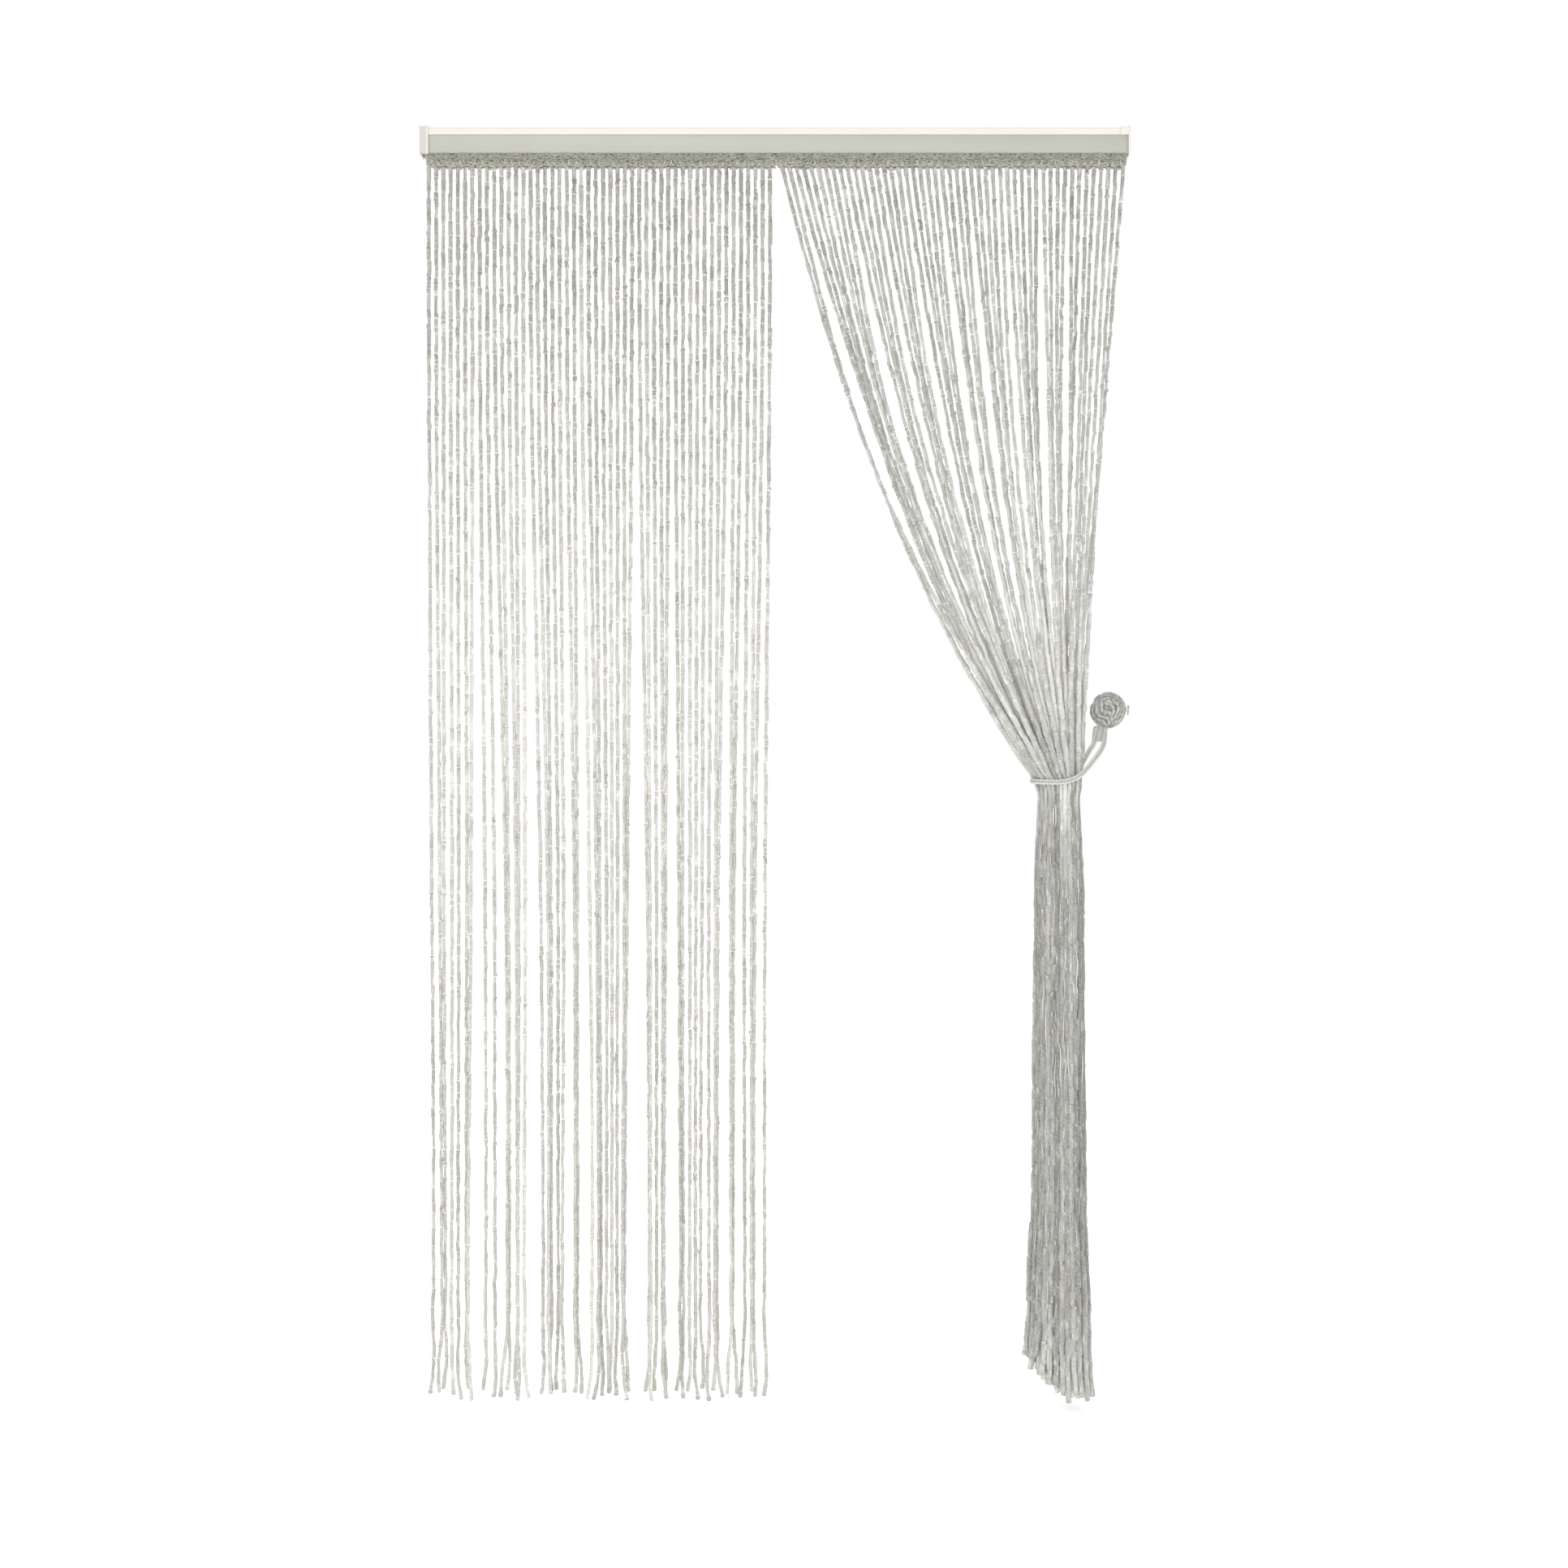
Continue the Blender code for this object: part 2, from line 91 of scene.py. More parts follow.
def pointsAt(lines, along, wanted):
    # the points of each line at the wanted distances from its start
    return np.stack([
        np.stack([np.interp(target, run, line[:, axis]) for axis in range(3)], axis=-1)
        for line, run, target in zip(lines, along, wanted)
    ])


def smoothRoute(route, spacing):
    # Catmull-Rom curve through the route: each span is the cubic of its four nearest points
    given = np.array(route, float)
    given = np.vstack((2 * given[0] - given[1], given, 2 * given[-1] - given[-2]))
    share = np.linspace(0.0, 1.0, 25)[:-1].reshape(1, -1, 1)
    a, b, c, d = (given[start:len(given) - 3 + start, None, :] for start in range(4))
    curve = 0.5 * (2 * b + (c - a) * share + (2 * a - 5 * b + 4 * c - d) * share ** 2
                   + (3 * b - a - 3 * c + d) * share ** 3)
    fine = np.vstack((curve.reshape(-1, 3), given[-2]))[None]
    run = lengthsAlong(fine)
    count = round(run[0, -1] / spacing)
    return pointsAt(fine, run, np.linspace(0.0, run[0, -1], count + 1)[None])[0]


def ringFrames(lines, reference):
    # at each point two unit directions square to the line, the first as near the reference as can be
    onward = unit(np.gradient(lines, axis=1))
    first = unit(reference - onward * np.sum(reference * onward, axis=2, keepdims=True))
    return first, np.cross(onward, first)


def ringsAround(lines, reference, halfWide, halfDeep, turned, sides):
    # ellipse at each point: centre + wide cos(angle) first + deep sin(angle) second, turned on its line
    first, second = ringFrames(lines, reference)
    cosine = np.cos(turned)[..., None]
    sine = np.sin(turned)[..., None]
    wideAxis = (first * cosine + second * sine) * halfWide[..., None]
    deepAxis = (second * cosine - first * sine) * halfDeep[..., None]
    angle = (np.arange(sides) * 2 * np.pi / sides)[:, None]
    return (lines[:, :, None] + wideAxis[:, :, None] * np.cos(angle)
            + deepAxis[:, :, None] * np.sin(angle))


def tubeMesh(name, rings, along, tone):
    # rings is tubes x rings x sides x 3: quads join each ring to the next, one face closes each end
    tubes, count, sides = rings.shape[:3]
    index = np.arange(tubes * count * sides).reshape(tubes, count, sides)
    turned = np.roll(index, -1, axis=2)
    quads = np.stack((index[:, :-1], turned[:, :-1], turned[:, 1:], index[:, 1:]), axis=-1)
    ends = np.concatenate((index[:, 0, ::-1], index[:, -1]))
    corners = np.concatenate((quads.ravel(), ends.ravel()))
    starts = np.concatenate((np.arange(quads.size // 4) * 4, quads.size + np.arange(len(ends)) * sides))
    mesh = bpy.data.meshes.new(name)
    mesh.vertices.add(index.size)
    mesh.vertices.foreach_set("co", rings.astype(np.float32).ravel())
    mesh.loops.add(len(corners))
    mesh.loops.foreach_set("vertex_index", corners.astype(np.int32))
    mesh.polygons.add(len(starts))
    mesh.polygons.foreach_set("loop_start", starts.astype(np.int32))
    mesh.update(calc_edges=True)
    mesh.shade_smooth()
    # u runs once around a tube and v is the distance along it, in metres
    u = np.broadcast_to((np.arange(sides)[:, None] + np.array([0, 1, 1, 0])) / sides, quads.shape)
    v = np.broadcast_to(np.stack((along[:, :-1], along[:, :-1], along[:, 1:], along[:, 1:]), axis=-1)
                        [:, :, None], quads.shape)
    flat = np.stack((np.zeros(ends.size), np.zeros(ends.size)), axis=-1)
    uv = np.concatenate((np.stack((u, v), axis=-1).reshape(-1, 2), flat))
    mesh.uv_layers.new(name="yarnMap").data.foreach_set("uv", uv.astype(np.float32).ravel())
    marks = mesh.attributes.new("tone", "FLOAT", "POINT")
    marks.data.foreach_set("value", np.broadcast_to(tone, index.shape).astype(np.float32).ravel())
    return mesh


def addPiece(name, mesh, material, slotName, *replaced):
    piece = bpy.data.objects.new(name, mesh)
    bpy.context.scene.collection.objects.link(piece)
    mesh.materials.append(material)
    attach(piece, "root")
    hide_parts(*replaced)
    return piece


def addTubes(name, rings, along, tone, *rest):
    return addPiece(name, tubeMesh(name, rings, along, tone), *rest)


def softenedCopy(nodeName, width, material, slotName):
    # a copy of a CAD node with its triangles merged into flat faces and its edges rounded
    work = bmesh.new()
    work.from_mesh(nodes[nodeName].data)
    bmesh.ops.remove_doubles(work, verts=work.verts[:], dist=1e-5)
    bmesh.ops.dissolve_limit(work, angle_limit=math.radians(1.0), verts=work.verts[:], edges=work.edges[:])
    mesh = bpy.data.meshes.new(nodeName + "Soft")
    work.to_mesh(mesh)
    work.free()
    mesh.materials.clear()
    piece = addPiece(nodeName + "Soft", mesh, material, slotName, nodeName)
    rounding = piece.modifiers.new("roundedEdges", "BEVEL")
    rounding.width = width
    rounding.segments = 2
    rounding.limit_method = "ANGLE"
    rounding.angle_limit = math.radians(35.0)
    rounding.harden_normals = True
    mesh.shade_smooth()
    mesh.set_sharp_from_angle(angle=math.radians(35.0))
    return piece


# node groups that more than one material uses

def startGroup(name, inputs, outputs):
    group = bpy.data.node_groups.new(name, "ShaderNodeTree")
    for label, kind, value in inputs:
        socket = group.interface.new_socket(name=label, in_out="INPUT", socket_type=kind)
        socket.default_value = value
    for label, kind in outputs:
        group.interface.new_socket(name=label, in_out="OUTPUT", socket_type=kind)
    return group, group.nodes.new("NodeGroupInput"), group.nodes.new("NodeGroupOutput")


def mathNode(tree, operation, first, second=0.0):
    # one Math node; each input is a socket or a plain number
    node = tree.nodes.new("ShaderNodeMath")
    node.operation = operation
    for place, given in enumerate((first, second)):
        if isinstance(given, (int, float)):
            node.inputs[place].default_value = given
        else:
            tree.links.new(given, node.inputs[place])
    return node.outputs[0]


def addNoise(tree, vector, scale, detail):
    noise = tree.nodes.new("ShaderNodeTexNoise")
    noise.inputs["Scale"].default_value = scale
    noise.inputs["Detail"].default_value = detail
    tree.links.new(vector, noise.inputs["Vector"])
    return noise.outputs["Fac"]


def mixColours(tree, factor, first, second, blend="MIX"):
    # one colour Mix node; factor and colours are sockets, or a plain number and plain colours
    node = tree.nodes.new("ShaderNodeMix")
    node.data_type = "RGBA"
    node.blend_type = blend
    for label, given in (("Factor", factor), ("A", first), ("B", second)):
        if isinstance(given, bpy.types.NodeSocket):
            tree.links.new(given, node.inputs[label])
        elif isinstance(given, float):
            node.inputs[label].default_value = given
        else:
            node.inputs[label].default_value = (*given, 1.0)
    return node.outputs["Result"]


def makeYarnGroup():
    # colour and height of glossy yarn: the fibres' winding, blotches, streaks along it with painted highlights
    # (light flecks that stand for glints) where a streak is strongest, and a faint tint
    group, given, result = startGroup("woundYarn", [
        ("Tone", "NodeSocketFloat", 0.5),
        ("Dark", "NodeSocketColor", (0.2, 0.2, 0.2, 1.0)),
        ("Light", "NodeSocketColor", (0.9, 0.9, 0.9, 1.0)),
        ("Fibres", "NodeSocketFloat", 3.0),
        ("Lay Per Metre", "NodeSocketFloat", 180.0),
        ("Fibre Shade", "NodeSocketFloat", 0.1),
        ("Blotch Shade", "NodeSocketFloat", 0.4),
        ("Streak Shade", "NodeSocketFloat", 0.4),
        ("Streaks Around", "NodeSocketFloat", 7.0),
        ("Streaks Per Metre", "NodeSocketFloat", 80.0),
        # painted highlights: how much the light flecks that stand for glints add
        ("Fleck Shade", "NodeSocketFloat", 0.0),
    ], [("Color", "NodeSocketColor"), ("Height", "NodeSocketFloat")])
    yarnMap = group.nodes.new("ShaderNodeUVMap")
    yarnMap.uv_map = "yarnMap"
    parts = group.nodes.new("ShaderNodeSeparateXYZ")
    group.links.new(yarnMap.outputs["UV"], parts.inputs[0])
    # fibre = sine of one turn for each fibre around and each lay along
    around = mathNode(group, "MULTIPLY", parts.outputs["X"], given.outputs["Fibres"])
    along = mathNode(group, "MULTIPLY", parts.outputs["Y"], given.outputs["Lay Per Metre"])
    turns = mathNode(group, "ADD", around, along)
    fibre = mathNode(group, "SINE", mathNode(group, "MULTIPLY", turns, 2 * math.pi))
    place = group.nodes.new("ShaderNodeTexCoord")
    blotch = addNoise(group, place.outputs["Object"], 250.0, 2.0)
    drawn = group.nodes.new("ShaderNodeCombineXYZ")
    for axis, label in enumerate(("Streaks Around", "Streaks Per Metre")):
        stretched = mathNode(group, "MULTIPLY", parts.outputs[axis], given.outputs[label])
        group.links.new(stretched, drawn.inputs[axis])
    streak = addNoise(group, drawn.outputs[0], 1.0, 2.0)
    # painted highlight share = how far the streak passes 0.60, times 10, held between 0 and 1
    passed = mathNode(group, "MULTIPLY", mathNode(group, "SUBTRACT", streak, 0.60), 10.0)
    glintShare = mathNode(group, "MINIMUM", mathNode(group, "MAXIMUM", passed, 0.0), 1.0)
    tone = given.outputs["Tone"]
    for value, middle, share in ((fibre, 0.0, "Fibre Shade"), (blotch, 0.5, "Blotch Shade"),
                                 (streak, 0.5, "Streak Shade"), (glintShare, 0.0, "Fleck Shade")):
        shift = mathNode(group, "SUBTRACT", value, middle)
        tone = mathNode(group, "ADD", tone, mathNode(group, "MULTIPLY", shift, given.outputs[share]))
    shade = mixColours(group, tone, given.outputs["Dark"], given.outputs["Light"])
    tint = group.nodes.new("ShaderNodeValToRGB")  # pinkish, plain and greenish patches
    tint.color_ramp.elements[0].position = 0.36
    tint.color_ramp.elements[0].color = (1.0, 0.98, 0.955, 1.0)
    tint.color_ramp.elements[1].position = 0.64
    tint.color_ramp.elements[1].color = (0.98, 0.995, 0.955, 1.0)
    tint.color_ramp.elements.new(0.5).color = (1.0, 1.0, 0.985, 1.0)
    group.links.new(addNoise(group, place.outputs["Object"], 16.0, 1.0), tint.inputs["Fac"])
    tinted = mixColours(group, 1.0, shade, tint.outputs["Color"], "MULTIPLY")
    group.links.new(tinted, result.inputs["Color"])
    group.links.new(fibre, result.inputs["Height"])
    return group


def makeMouldGroup():
    # fine unevenness of paint or moulded plastic: a small-scale noise, and a broad faint one
    group, given, result = startGroup("smoothFinish", [
        ("Fine Scale", "NodeSocketFloat", 900.0),
        ("Broad Scale", "NodeSocketFloat", 14.0),
    ], [("Fine", "NodeSocketFloat"), ("Broad", "NodeSocketFloat")])
    place = group.nodes.new("ShaderNodeTexCoord")
    for label in ("Fine", "Broad"):
        noise = group.nodes.new("ShaderNodeTexNoise")
        noise.inputs["Detail"].default_value = 2.0
        group.links.new(place.outputs["Object"], noise.inputs["Vector"])
        group.links.new(given.outputs[label + " Scale"], noise.inputs["Scale"])
        group.links.new(noise.outputs["Fac"], result.inputs[label])
    return group


yarnGroup = makeYarnGroup()
mouldGroup = makeMouldGroup()


def startMaterial(name, roughness, specular):
    material = bpy.data.materials.new(name)
    material.use_nodes = True
    tree = material.node_tree
    shader = tree.nodes["Principled BSDF"]
    shader.inputs["Roughness"].default_value = roughness
    shader.inputs["Specular IOR Level"].default_value = specular
    return material, tree, shader


def placeGroup(tree, group, **values):
    node = tree.nodes.new("ShaderNodeGroup")
    node.node_tree = group
    for label, value in values.items():
        node.inputs[label.replace("_", " ")].default_value = value
    return node


def addBump(tree, shader, height, strength, distance):
    bump = tree.nodes.new("ShaderNodeBump")
    bump.inputs["Strength"].default_value = strength
    bump.inputs["Distance"].default_value = distance
    tree.links.new(height, bump.inputs["Height"])
    tree.links.new(bump.outputs["Normal"], shader.inputs["Normal"])


def yarnMaterial(look):
    material, tree, shader = startMaterial(look["name"], look["roughness"], look["specular"])
    yarn = placeGroup(tree, yarnGroup, Dark=(*look["dark"], 1.0), Light=(*look["light"], 1.0),
                      Fibres=look["fibres"], Lay_Per_Metre=look["layPerMetre"],
                      Fibre_Shade=look["fibreShade"], Blotch_Shade=look["blotchShade"],
                      Streak_Shade=look["streakShade"], Streaks_Around=look["streaksAround"],
                      Streaks_Per_Metre=look["streaksPerMetre"], Fleck_Shade=look["paintedGlint"])
    tone = tree.nodes.new("ShaderNodeAttribute")
    tone.attribute_name = "tone"
    tree.links.new(tone.outputs["Fac"], yarn.inputs["Tone"])
    tree.links.new(yarn.outputs["Color"], shader.inputs["Base Color"])
    shader.inputs["Coat Weight"].default_value = look["coat"]
    shader.inputs["Coat Roughness"].default_value = 0.25
    shader.inputs["Sheen Weight"].default_value = look["sheen"]
    shader.inputs["Sheen Roughness"].default_value = 0.4
    addBump(tree, shader, yarn.outputs["Height"], look["bump"], 0.0002)
    return material


strandLook = {
    "name": "glossyStrandYarn",
    "dark": (0.235, 0.231, 0.214),
    "light": (0.840, 0.834, 0.798),
    "roughness": 0.52,
    "specular": 0.3,
    "coat": 0.05,
    "sheen": 0.20,
    "fibres": 3.0,
    "layPerMetre": 330.0,
    "fibreShade": 0.04,
    "blotchShade": 0.35,
    "streakShade": 0.35,
    "streaksAround": 7.0,
    "streaksPerMetre": 150.0,
    # painted highlights: light flecks that stand for glints
    "paintedGlint": 0.30,
    "bump": 0.20,
}
gatheredLook = dict(strandLook, name="glossyGatheredYarn", dark=(0.234, 0.234, 0.224),
                    light=(0.836, 0.838, 0.815), streakShade=0.50, streaksAround=8.0,
                    streaksPerMetre=90.0, paintedGlint=0.28)
headingLook = dict(strandLook, name="crochetedHeadingYarn", dark=(0.235, 0.232, 0.202),
                   light=(0.820, 0.805, 0.725), layPerMetre=420.0, coat=0.0, specular=0.15,
                   blotchShade=0.20, streakShade=0.08, paintedGlint=0.0, bump=0.03)
tieLook = dict(strandLook, name="crochetedTieYarn", dark=(0.234, 0.236, 0.226), light=(0.836, 0.838, 0.815),
               layPerMetre=300.0, coat=0.06, blotchShade=0.25, streakShade=0.20, paintedGlint=0.0)

railLook = {
    "face": (0.475, 0.480, 0.425),
    "lip": (0.790, 0.765, 0.700),
    "lipTopShade": (0.790, 0.740, 0.655),  # painted shade: warmer and darker where the lip leans back
    "lipBottom": -0.0133,  # below this the front is the grey face
    "lipHeight": 0.0105,
    "roughness": 0.46,
}
capLook = {
    "name": "mouldedCap",
    "colour": (0.620, 0.605, 0.550),
    "aged": 0.90,
    "roughness": 0.34,
    "spread": 0.16,
    "metal": 0.0,
    "fineScale": 1400.0,
    "broadScale": 70.0,
    "bump": 0.06,
    "bumpDepth": 0.0002,
}
# lighter than the cap: on the rims this colour is painted highlight along the raised, glossier ridge; the whole
# right cap takes it too
rimLook = dict(capLook, name="polishedCapRim", colour=(0.790, 0.770, 0.720), roughness=0.24)
hookLook = dict(capLook, name="platedHook", colour=(0.96, 0.96, 0.94), aged=0.82, roughness=0.50, spread=0.18,
                metal=1.0, fineScale=1600.0, broadScale=140.0, bump=0.08, bumpDepth=0.0001)


def railMaterial(look):
    # grey paint with a white band at the top whose top is warmed and darkened by painted shade, long faint
    # streaks from the drawn metal, fine orange peel
    material, tree, shader = startMaterial("paintedRail", look["roughness"], 0.5)
    finish = placeGroup(tree, mouldGroup, Fine_Scale=1100.0, Broad_Scale=9.0)
    place = tree.nodes.new("ShaderNodeTexCoord")
    parts = tree.nodes.new("ShaderNodeSeparateXYZ")
    tree.links.new(place.outputs["Object"], parts.inputs[0])
    drawn = tree.nodes.new("ShaderNodeMapping")
    drawn.inputs["Scale"].default_value = (1.5, 300.0, 300.0)
    tree.links.new(place.outputs["Object"], drawn.inputs["Vector"])
    streaks = addNoise(tree, drawn.outputs[0], 1.0, 2.0)
    onLip = mathNode(tree, "GREATER_THAN", parts.outputs["Z"], look["lipBottom"])
    risen = mathNode(tree, "SUBTRACT", parts.outputs["Z"], look["lipBottom"])
    # painted shade: the share of the way up the lip, towards the warmer, darker top colour
    lipShadeShare = mathNode(tree, "DIVIDE", risen, look["lipHeight"])
    lip = mixColours(tree, lipShadeShare, look["lip"], look["lipTopShade"])
    paint = mixColours(tree, onLip, look["face"], lip)
    worn = mathNode(tree, "MULTIPLY", streaks, finish.outputs["Broad"])
    tree.links.new(mixColours(tree, worn, paint, (0.84, 0.84, 0.84), "MULTIPLY"), shader.inputs["Base Color"])
    rough = mathNode(tree, "MULTIPLY", streaks, 0.24)
    tree.links.new(mathNode(tree, "ADD", rough, look["roughness"] - 0.12), shader.inputs["Roughness"])
    addBump(tree, shader, finish.outputs["Fine"], 0.02, 0.0002)
    return material


def smoothMaterial(look):
    # broad patches darken the colour by the aged share and roughen it, roughness - spread / 2 to + spread / 2,
    # over a fine grain
    material, tree, shader = startMaterial(look["name"], look["roughness"], 0.5)
    finish = placeGroup(tree, mouldGroup, Fine_Scale=look["fineScale"], Broad_Scale=look["broadScale"])
    aged = tuple(look["aged"] * part for part in look["colour"])
    tree.links.new(mixColours(tree, finish.outputs["Broad"], look["colour"], aged), shader.inputs["Base Color"])
    shader.inputs["Metallic"].default_value = look["metal"]
    rough = mathNode(tree, "MULTIPLY", finish.outputs["Broad"], look["spread"])
    tree.links.new(mathNode(tree, "ADD", rough, look["roughness"] - look["spread"] / 2),
                   shader.inputs["Roughness"])
    addBump(tree, shader, finish.outputs["Fine"], look["bump"], look["bumpDepth"])
    return material


strandYarn = yarnMaterial(strandLook)
gatheredYarn = yarnMaterial(gatheredLook)
headingYarn = yarnMaterial(headingLook)
tieYarn = yarnMaterial(tieLook)
railPaint = railMaterial(railLook)
capPlastic = smoothMaterial(capLook)
rimPlastic = smoothMaterial(rimLook)
hookMetal = smoothMaterial(hookLook)
print("materials made")


# the tie cord: one loop from the sleeve round the gathered strands and back
tieCord = {
    "halfWide": 0.0043,  # across the band, over both plies
    "halfThick": 0.0029,
    "stitch": 0.0052,  # length of one chain stitch
    "stitchRise": 0.00035,
    "sides": 20,
    "spacing": 0.0011,
    "edgeX": 0.455,  # beyond this towards the sleeve the band faces straight forwards or backwards
    "exit": (0.5361, 0.0, -1.0080),
    "route": [
        (0.5438, -0.0030, -1.0096), (0.5425, -0.0055, -1.0170), (0.5360, -0.0120, -1.0280),
        (0.5229, -0.0200, -1.0444), (0.5100, -0.0248, -1.0590), (0.4990, -0.0274, -1.0690),
        (0.4840, -0.0290, -1.0758), (0.4692, -0.0297, -1.0788), (0.4540, -0.0290, -1.0792),
        (0.4397, -0.0263, -1.0788), (0.4298, -0.0170, -1.0782), (0.4261, -0.0070, -1.0776),
        (0.4256, 0.0000, -1.0772), (0.4254, 0.0072, -1.0768), (0.4290, 0.0177, -1.0760),
        (0.4393, 0.0268, -1.0745), (0.4540, 0.0292, -1.0722), (0.4692, 0.0297, -1.0690),
        (0.4840, 0.0289, -1.0645), (0.4980, 0.0270, -1.0590), (0.5070, 0.0246, -1.0530),
        (0.5140, 0.0210, -1.0440), (0.5216, 0.0138, -1.0280), (0.5272, 0.0062, -1.0170),
        (0.5285, 0.0030, -1.0102),
    ],
}


def makeTieCord(cord):
    # two plies side by side: half width grows from thick to wide with |sin angle|, and each ply carries
    # slanted stitches; the band lies flat against what it goes round
    line = smoothRoute(cord["route"], cord["spacing"])[None]
    along = lengthsAlong(line)
    facing = line * forwards
    facing[..., 0] = np.minimum(line[..., 0] - cord["edgeX"], 0.0)
    first, second = ringFrames(line, facing)
    angle = np.arange(cord["sides"]) * 2 * np.pi / cord["sides"]
    side = np.abs(np.sin(angle))
    phase = 2 * np.pi * along[..., None] / cord["stitch"]
    stitch = np.sin(phase + 1.6 * side) * side
    reach = cord["halfThick"] + (cord["halfWide"] - cord["halfThick"]) * side ** 1.3
    reach = reach + cord["stitchRise"] * stitch
    rings = (line[:, :, None] + first[:, :, None] * (reach * np.cos(angle))[..., None]
             + second[:, :, None] * (reach * np.sin(angle))[..., None])
    # painted shade: dark along the middle of the band, where the groove between the two plies would be, lighter
    # towards its edges, and lighter on the stitches' rises
    tone = 0.16 + 0.50 * np.clip((side - 0.15) / 0.55, 0.0, 1.0) + 0.13 * stitch
    piece = addTubes("tieCordYarn", rings, along, tone, tieYarn, "tie", "tie_cord")
    return float(along[0, -1])


cordLength = makeTieCord(tieCord)
print("tie cord made,", round(cordLength, 3), "m long")


# the strands follow the solids' lines to within about a centimetre: drawn closer into their bunches, and
# curled more at the cut ends
strandPlan = {
    "count": 48,
    "pitch": 0.012,
    "leftFirst": -0.5725,
    "rightFirst": 0.0115,
    "top": -0.063,  # where a strand leaves its heading
    "length": 2.038,
    "lengthSpread": 0.008,
}
leftPlan = {
    "bunches": [
        # strands, centre, pitch
        (7, -0.5340, 0.0112),
        (2, -0.4710, 0.0160),
        (5, -0.4295, 0.0084),
        (5, -0.3677, 0.0094),
        (2, -0.3288, 0.0090),
        (8, -0.2740, 0.0090),
        (5, -0.1960, 0.0083),
        (5, -0.1410, 0.0100),
        (3, -0.1015, 0.0087),
        (2, -0.0712, 0.0090),
        (3, -0.0417, 0.0098),
        (1, -0.0175, 0.0090),
    ],
    "layer": 0.0065,
    "flare": 0.014,  # the outermost cut ends of a bunch curl away from it
    "close": 0.12,  # a bunch closes up by this share on the way down
    "curl": 0.0045,
    "sway": 0.0042,  # and waver from side to side before that
    # strands that lie half over the next one further down, and how far each is pulled in
    "pairs": (1, 5, 9, 11, 15, 19, 22, 27, 29, 32, 34, 40, 42, 45),
    "pairPull": 0.0024,
}
rightPlan = {
    "bunches": (2, 7, 4, 4, 5, 4, 5, 5, 4, 5, 3),
    "squeeze": (0.46, 0.14),  # at the left and at the right of the fan
    "longer": 0.028,
    "tieX": 0.4692,
    "tieZ": -1.0783,
    "tieWidth": 0.0730,
    "skirtSpread": 0.019,
    "hug": (0.0045, 0.0065),  # narrower all the way down the skirt, and more just below the tie
    "skirtFlare": 0.014,
    "drawStraight": 0.60,
    "drawPower": 2.8,
    "layerOrder": (0, 3, 1, 4, 2, 5),
    "layerPitch": 0.0075,
    "layerRound": 0.027,
    "layerBulge": 0.22,
    "skirtDepth": 0.25,
    "wave": 0.00045,
    "curl": 0.007,
    "flick": 0.018,  # the last strand's cut end is bent outwards
}
strandNumber = np.arange(strandPlan["count"])[:, None]


def leftLines(plan, side, level):
    # straight down from the root, moved sideways into its bunch, its end curled by a square law that grows
    # with the cube of the distance from the bunch's middle
    rootX = plan["leftFirst"] + plan["pitch"] * strandNumber
    fromMiddle = [np.arange(count) - (count - 1) / 2 for count, centre, pitch in side["bunches"]]
    bunchX = np.concatenate([centre + pitch * place
                             for (count, centre, pitch), place in zip(side["bunches"], fromMiddle)])[:, None]
    outward = np.concatenate([2 * place / len(place) for place in fromMiddle])[:, None]
    length = plan["length"] + plan["lengthSpread"] * (uneven(strandNumber, 3.7) - 1.0)
    middleX = np.concatenate([centre + 0.0 * place
                              for (count, centre, pitch), place in zip(side["bunches"], fromMiddle)])[:, None]
    bunchX = bunchX + (middleX - bunchX) * side["close"] * smoothStep((level - 0.55) / 0.35)
    x = rootX + (bunchX - rootX) * smoothStep((level - 0.05) / 0.65)
    bend = side["flare"] * outward ** 3 + side["curl"] * uneven(strandNumber, 2.1)
    x = x + bend * np.maximum(0.0, (level - 0.93) / 0.07) ** 2
    low = np.maximum(0.0, (level - 0.90) / 0.10)
    x = x + side["sway"] * uneven(strandNumber, 5.3) * low * np.sin(2 * np.pi * low)
    first = np.isin(strandNumber, side["pairs"])
    pull = side["pairPull"] * (first.astype(float) - np.roll(first, 1, axis=0))
    x = x + pull * smoothStep((level - 0.15) / 0.5)
    y = (strandNumber % 3 - 1) * side["layer"] * smoothStep((level - 0.70) / 0.22)
    return np.stack((x, y, plan["top"] - length * level), axis=-1)


def layerPlace(plan, side):
    # depth of each gathered strand, and how much the oval narrows at that depth
    across = strandNumber / (plan["count"] - 1) - 0.5
    order = np.array(side["layerOrder"])[strandNumber % len(side["layerOrder"])]
    flat = (order - 2.5) * side["layerPitch"]
    oval = np.sqrt(1.0 - (flat / side["layerRound"]) ** 2)
    return flat * (1.0 + side["layerBulge"] * (1.0 - 4.0 * across ** 2)), oval


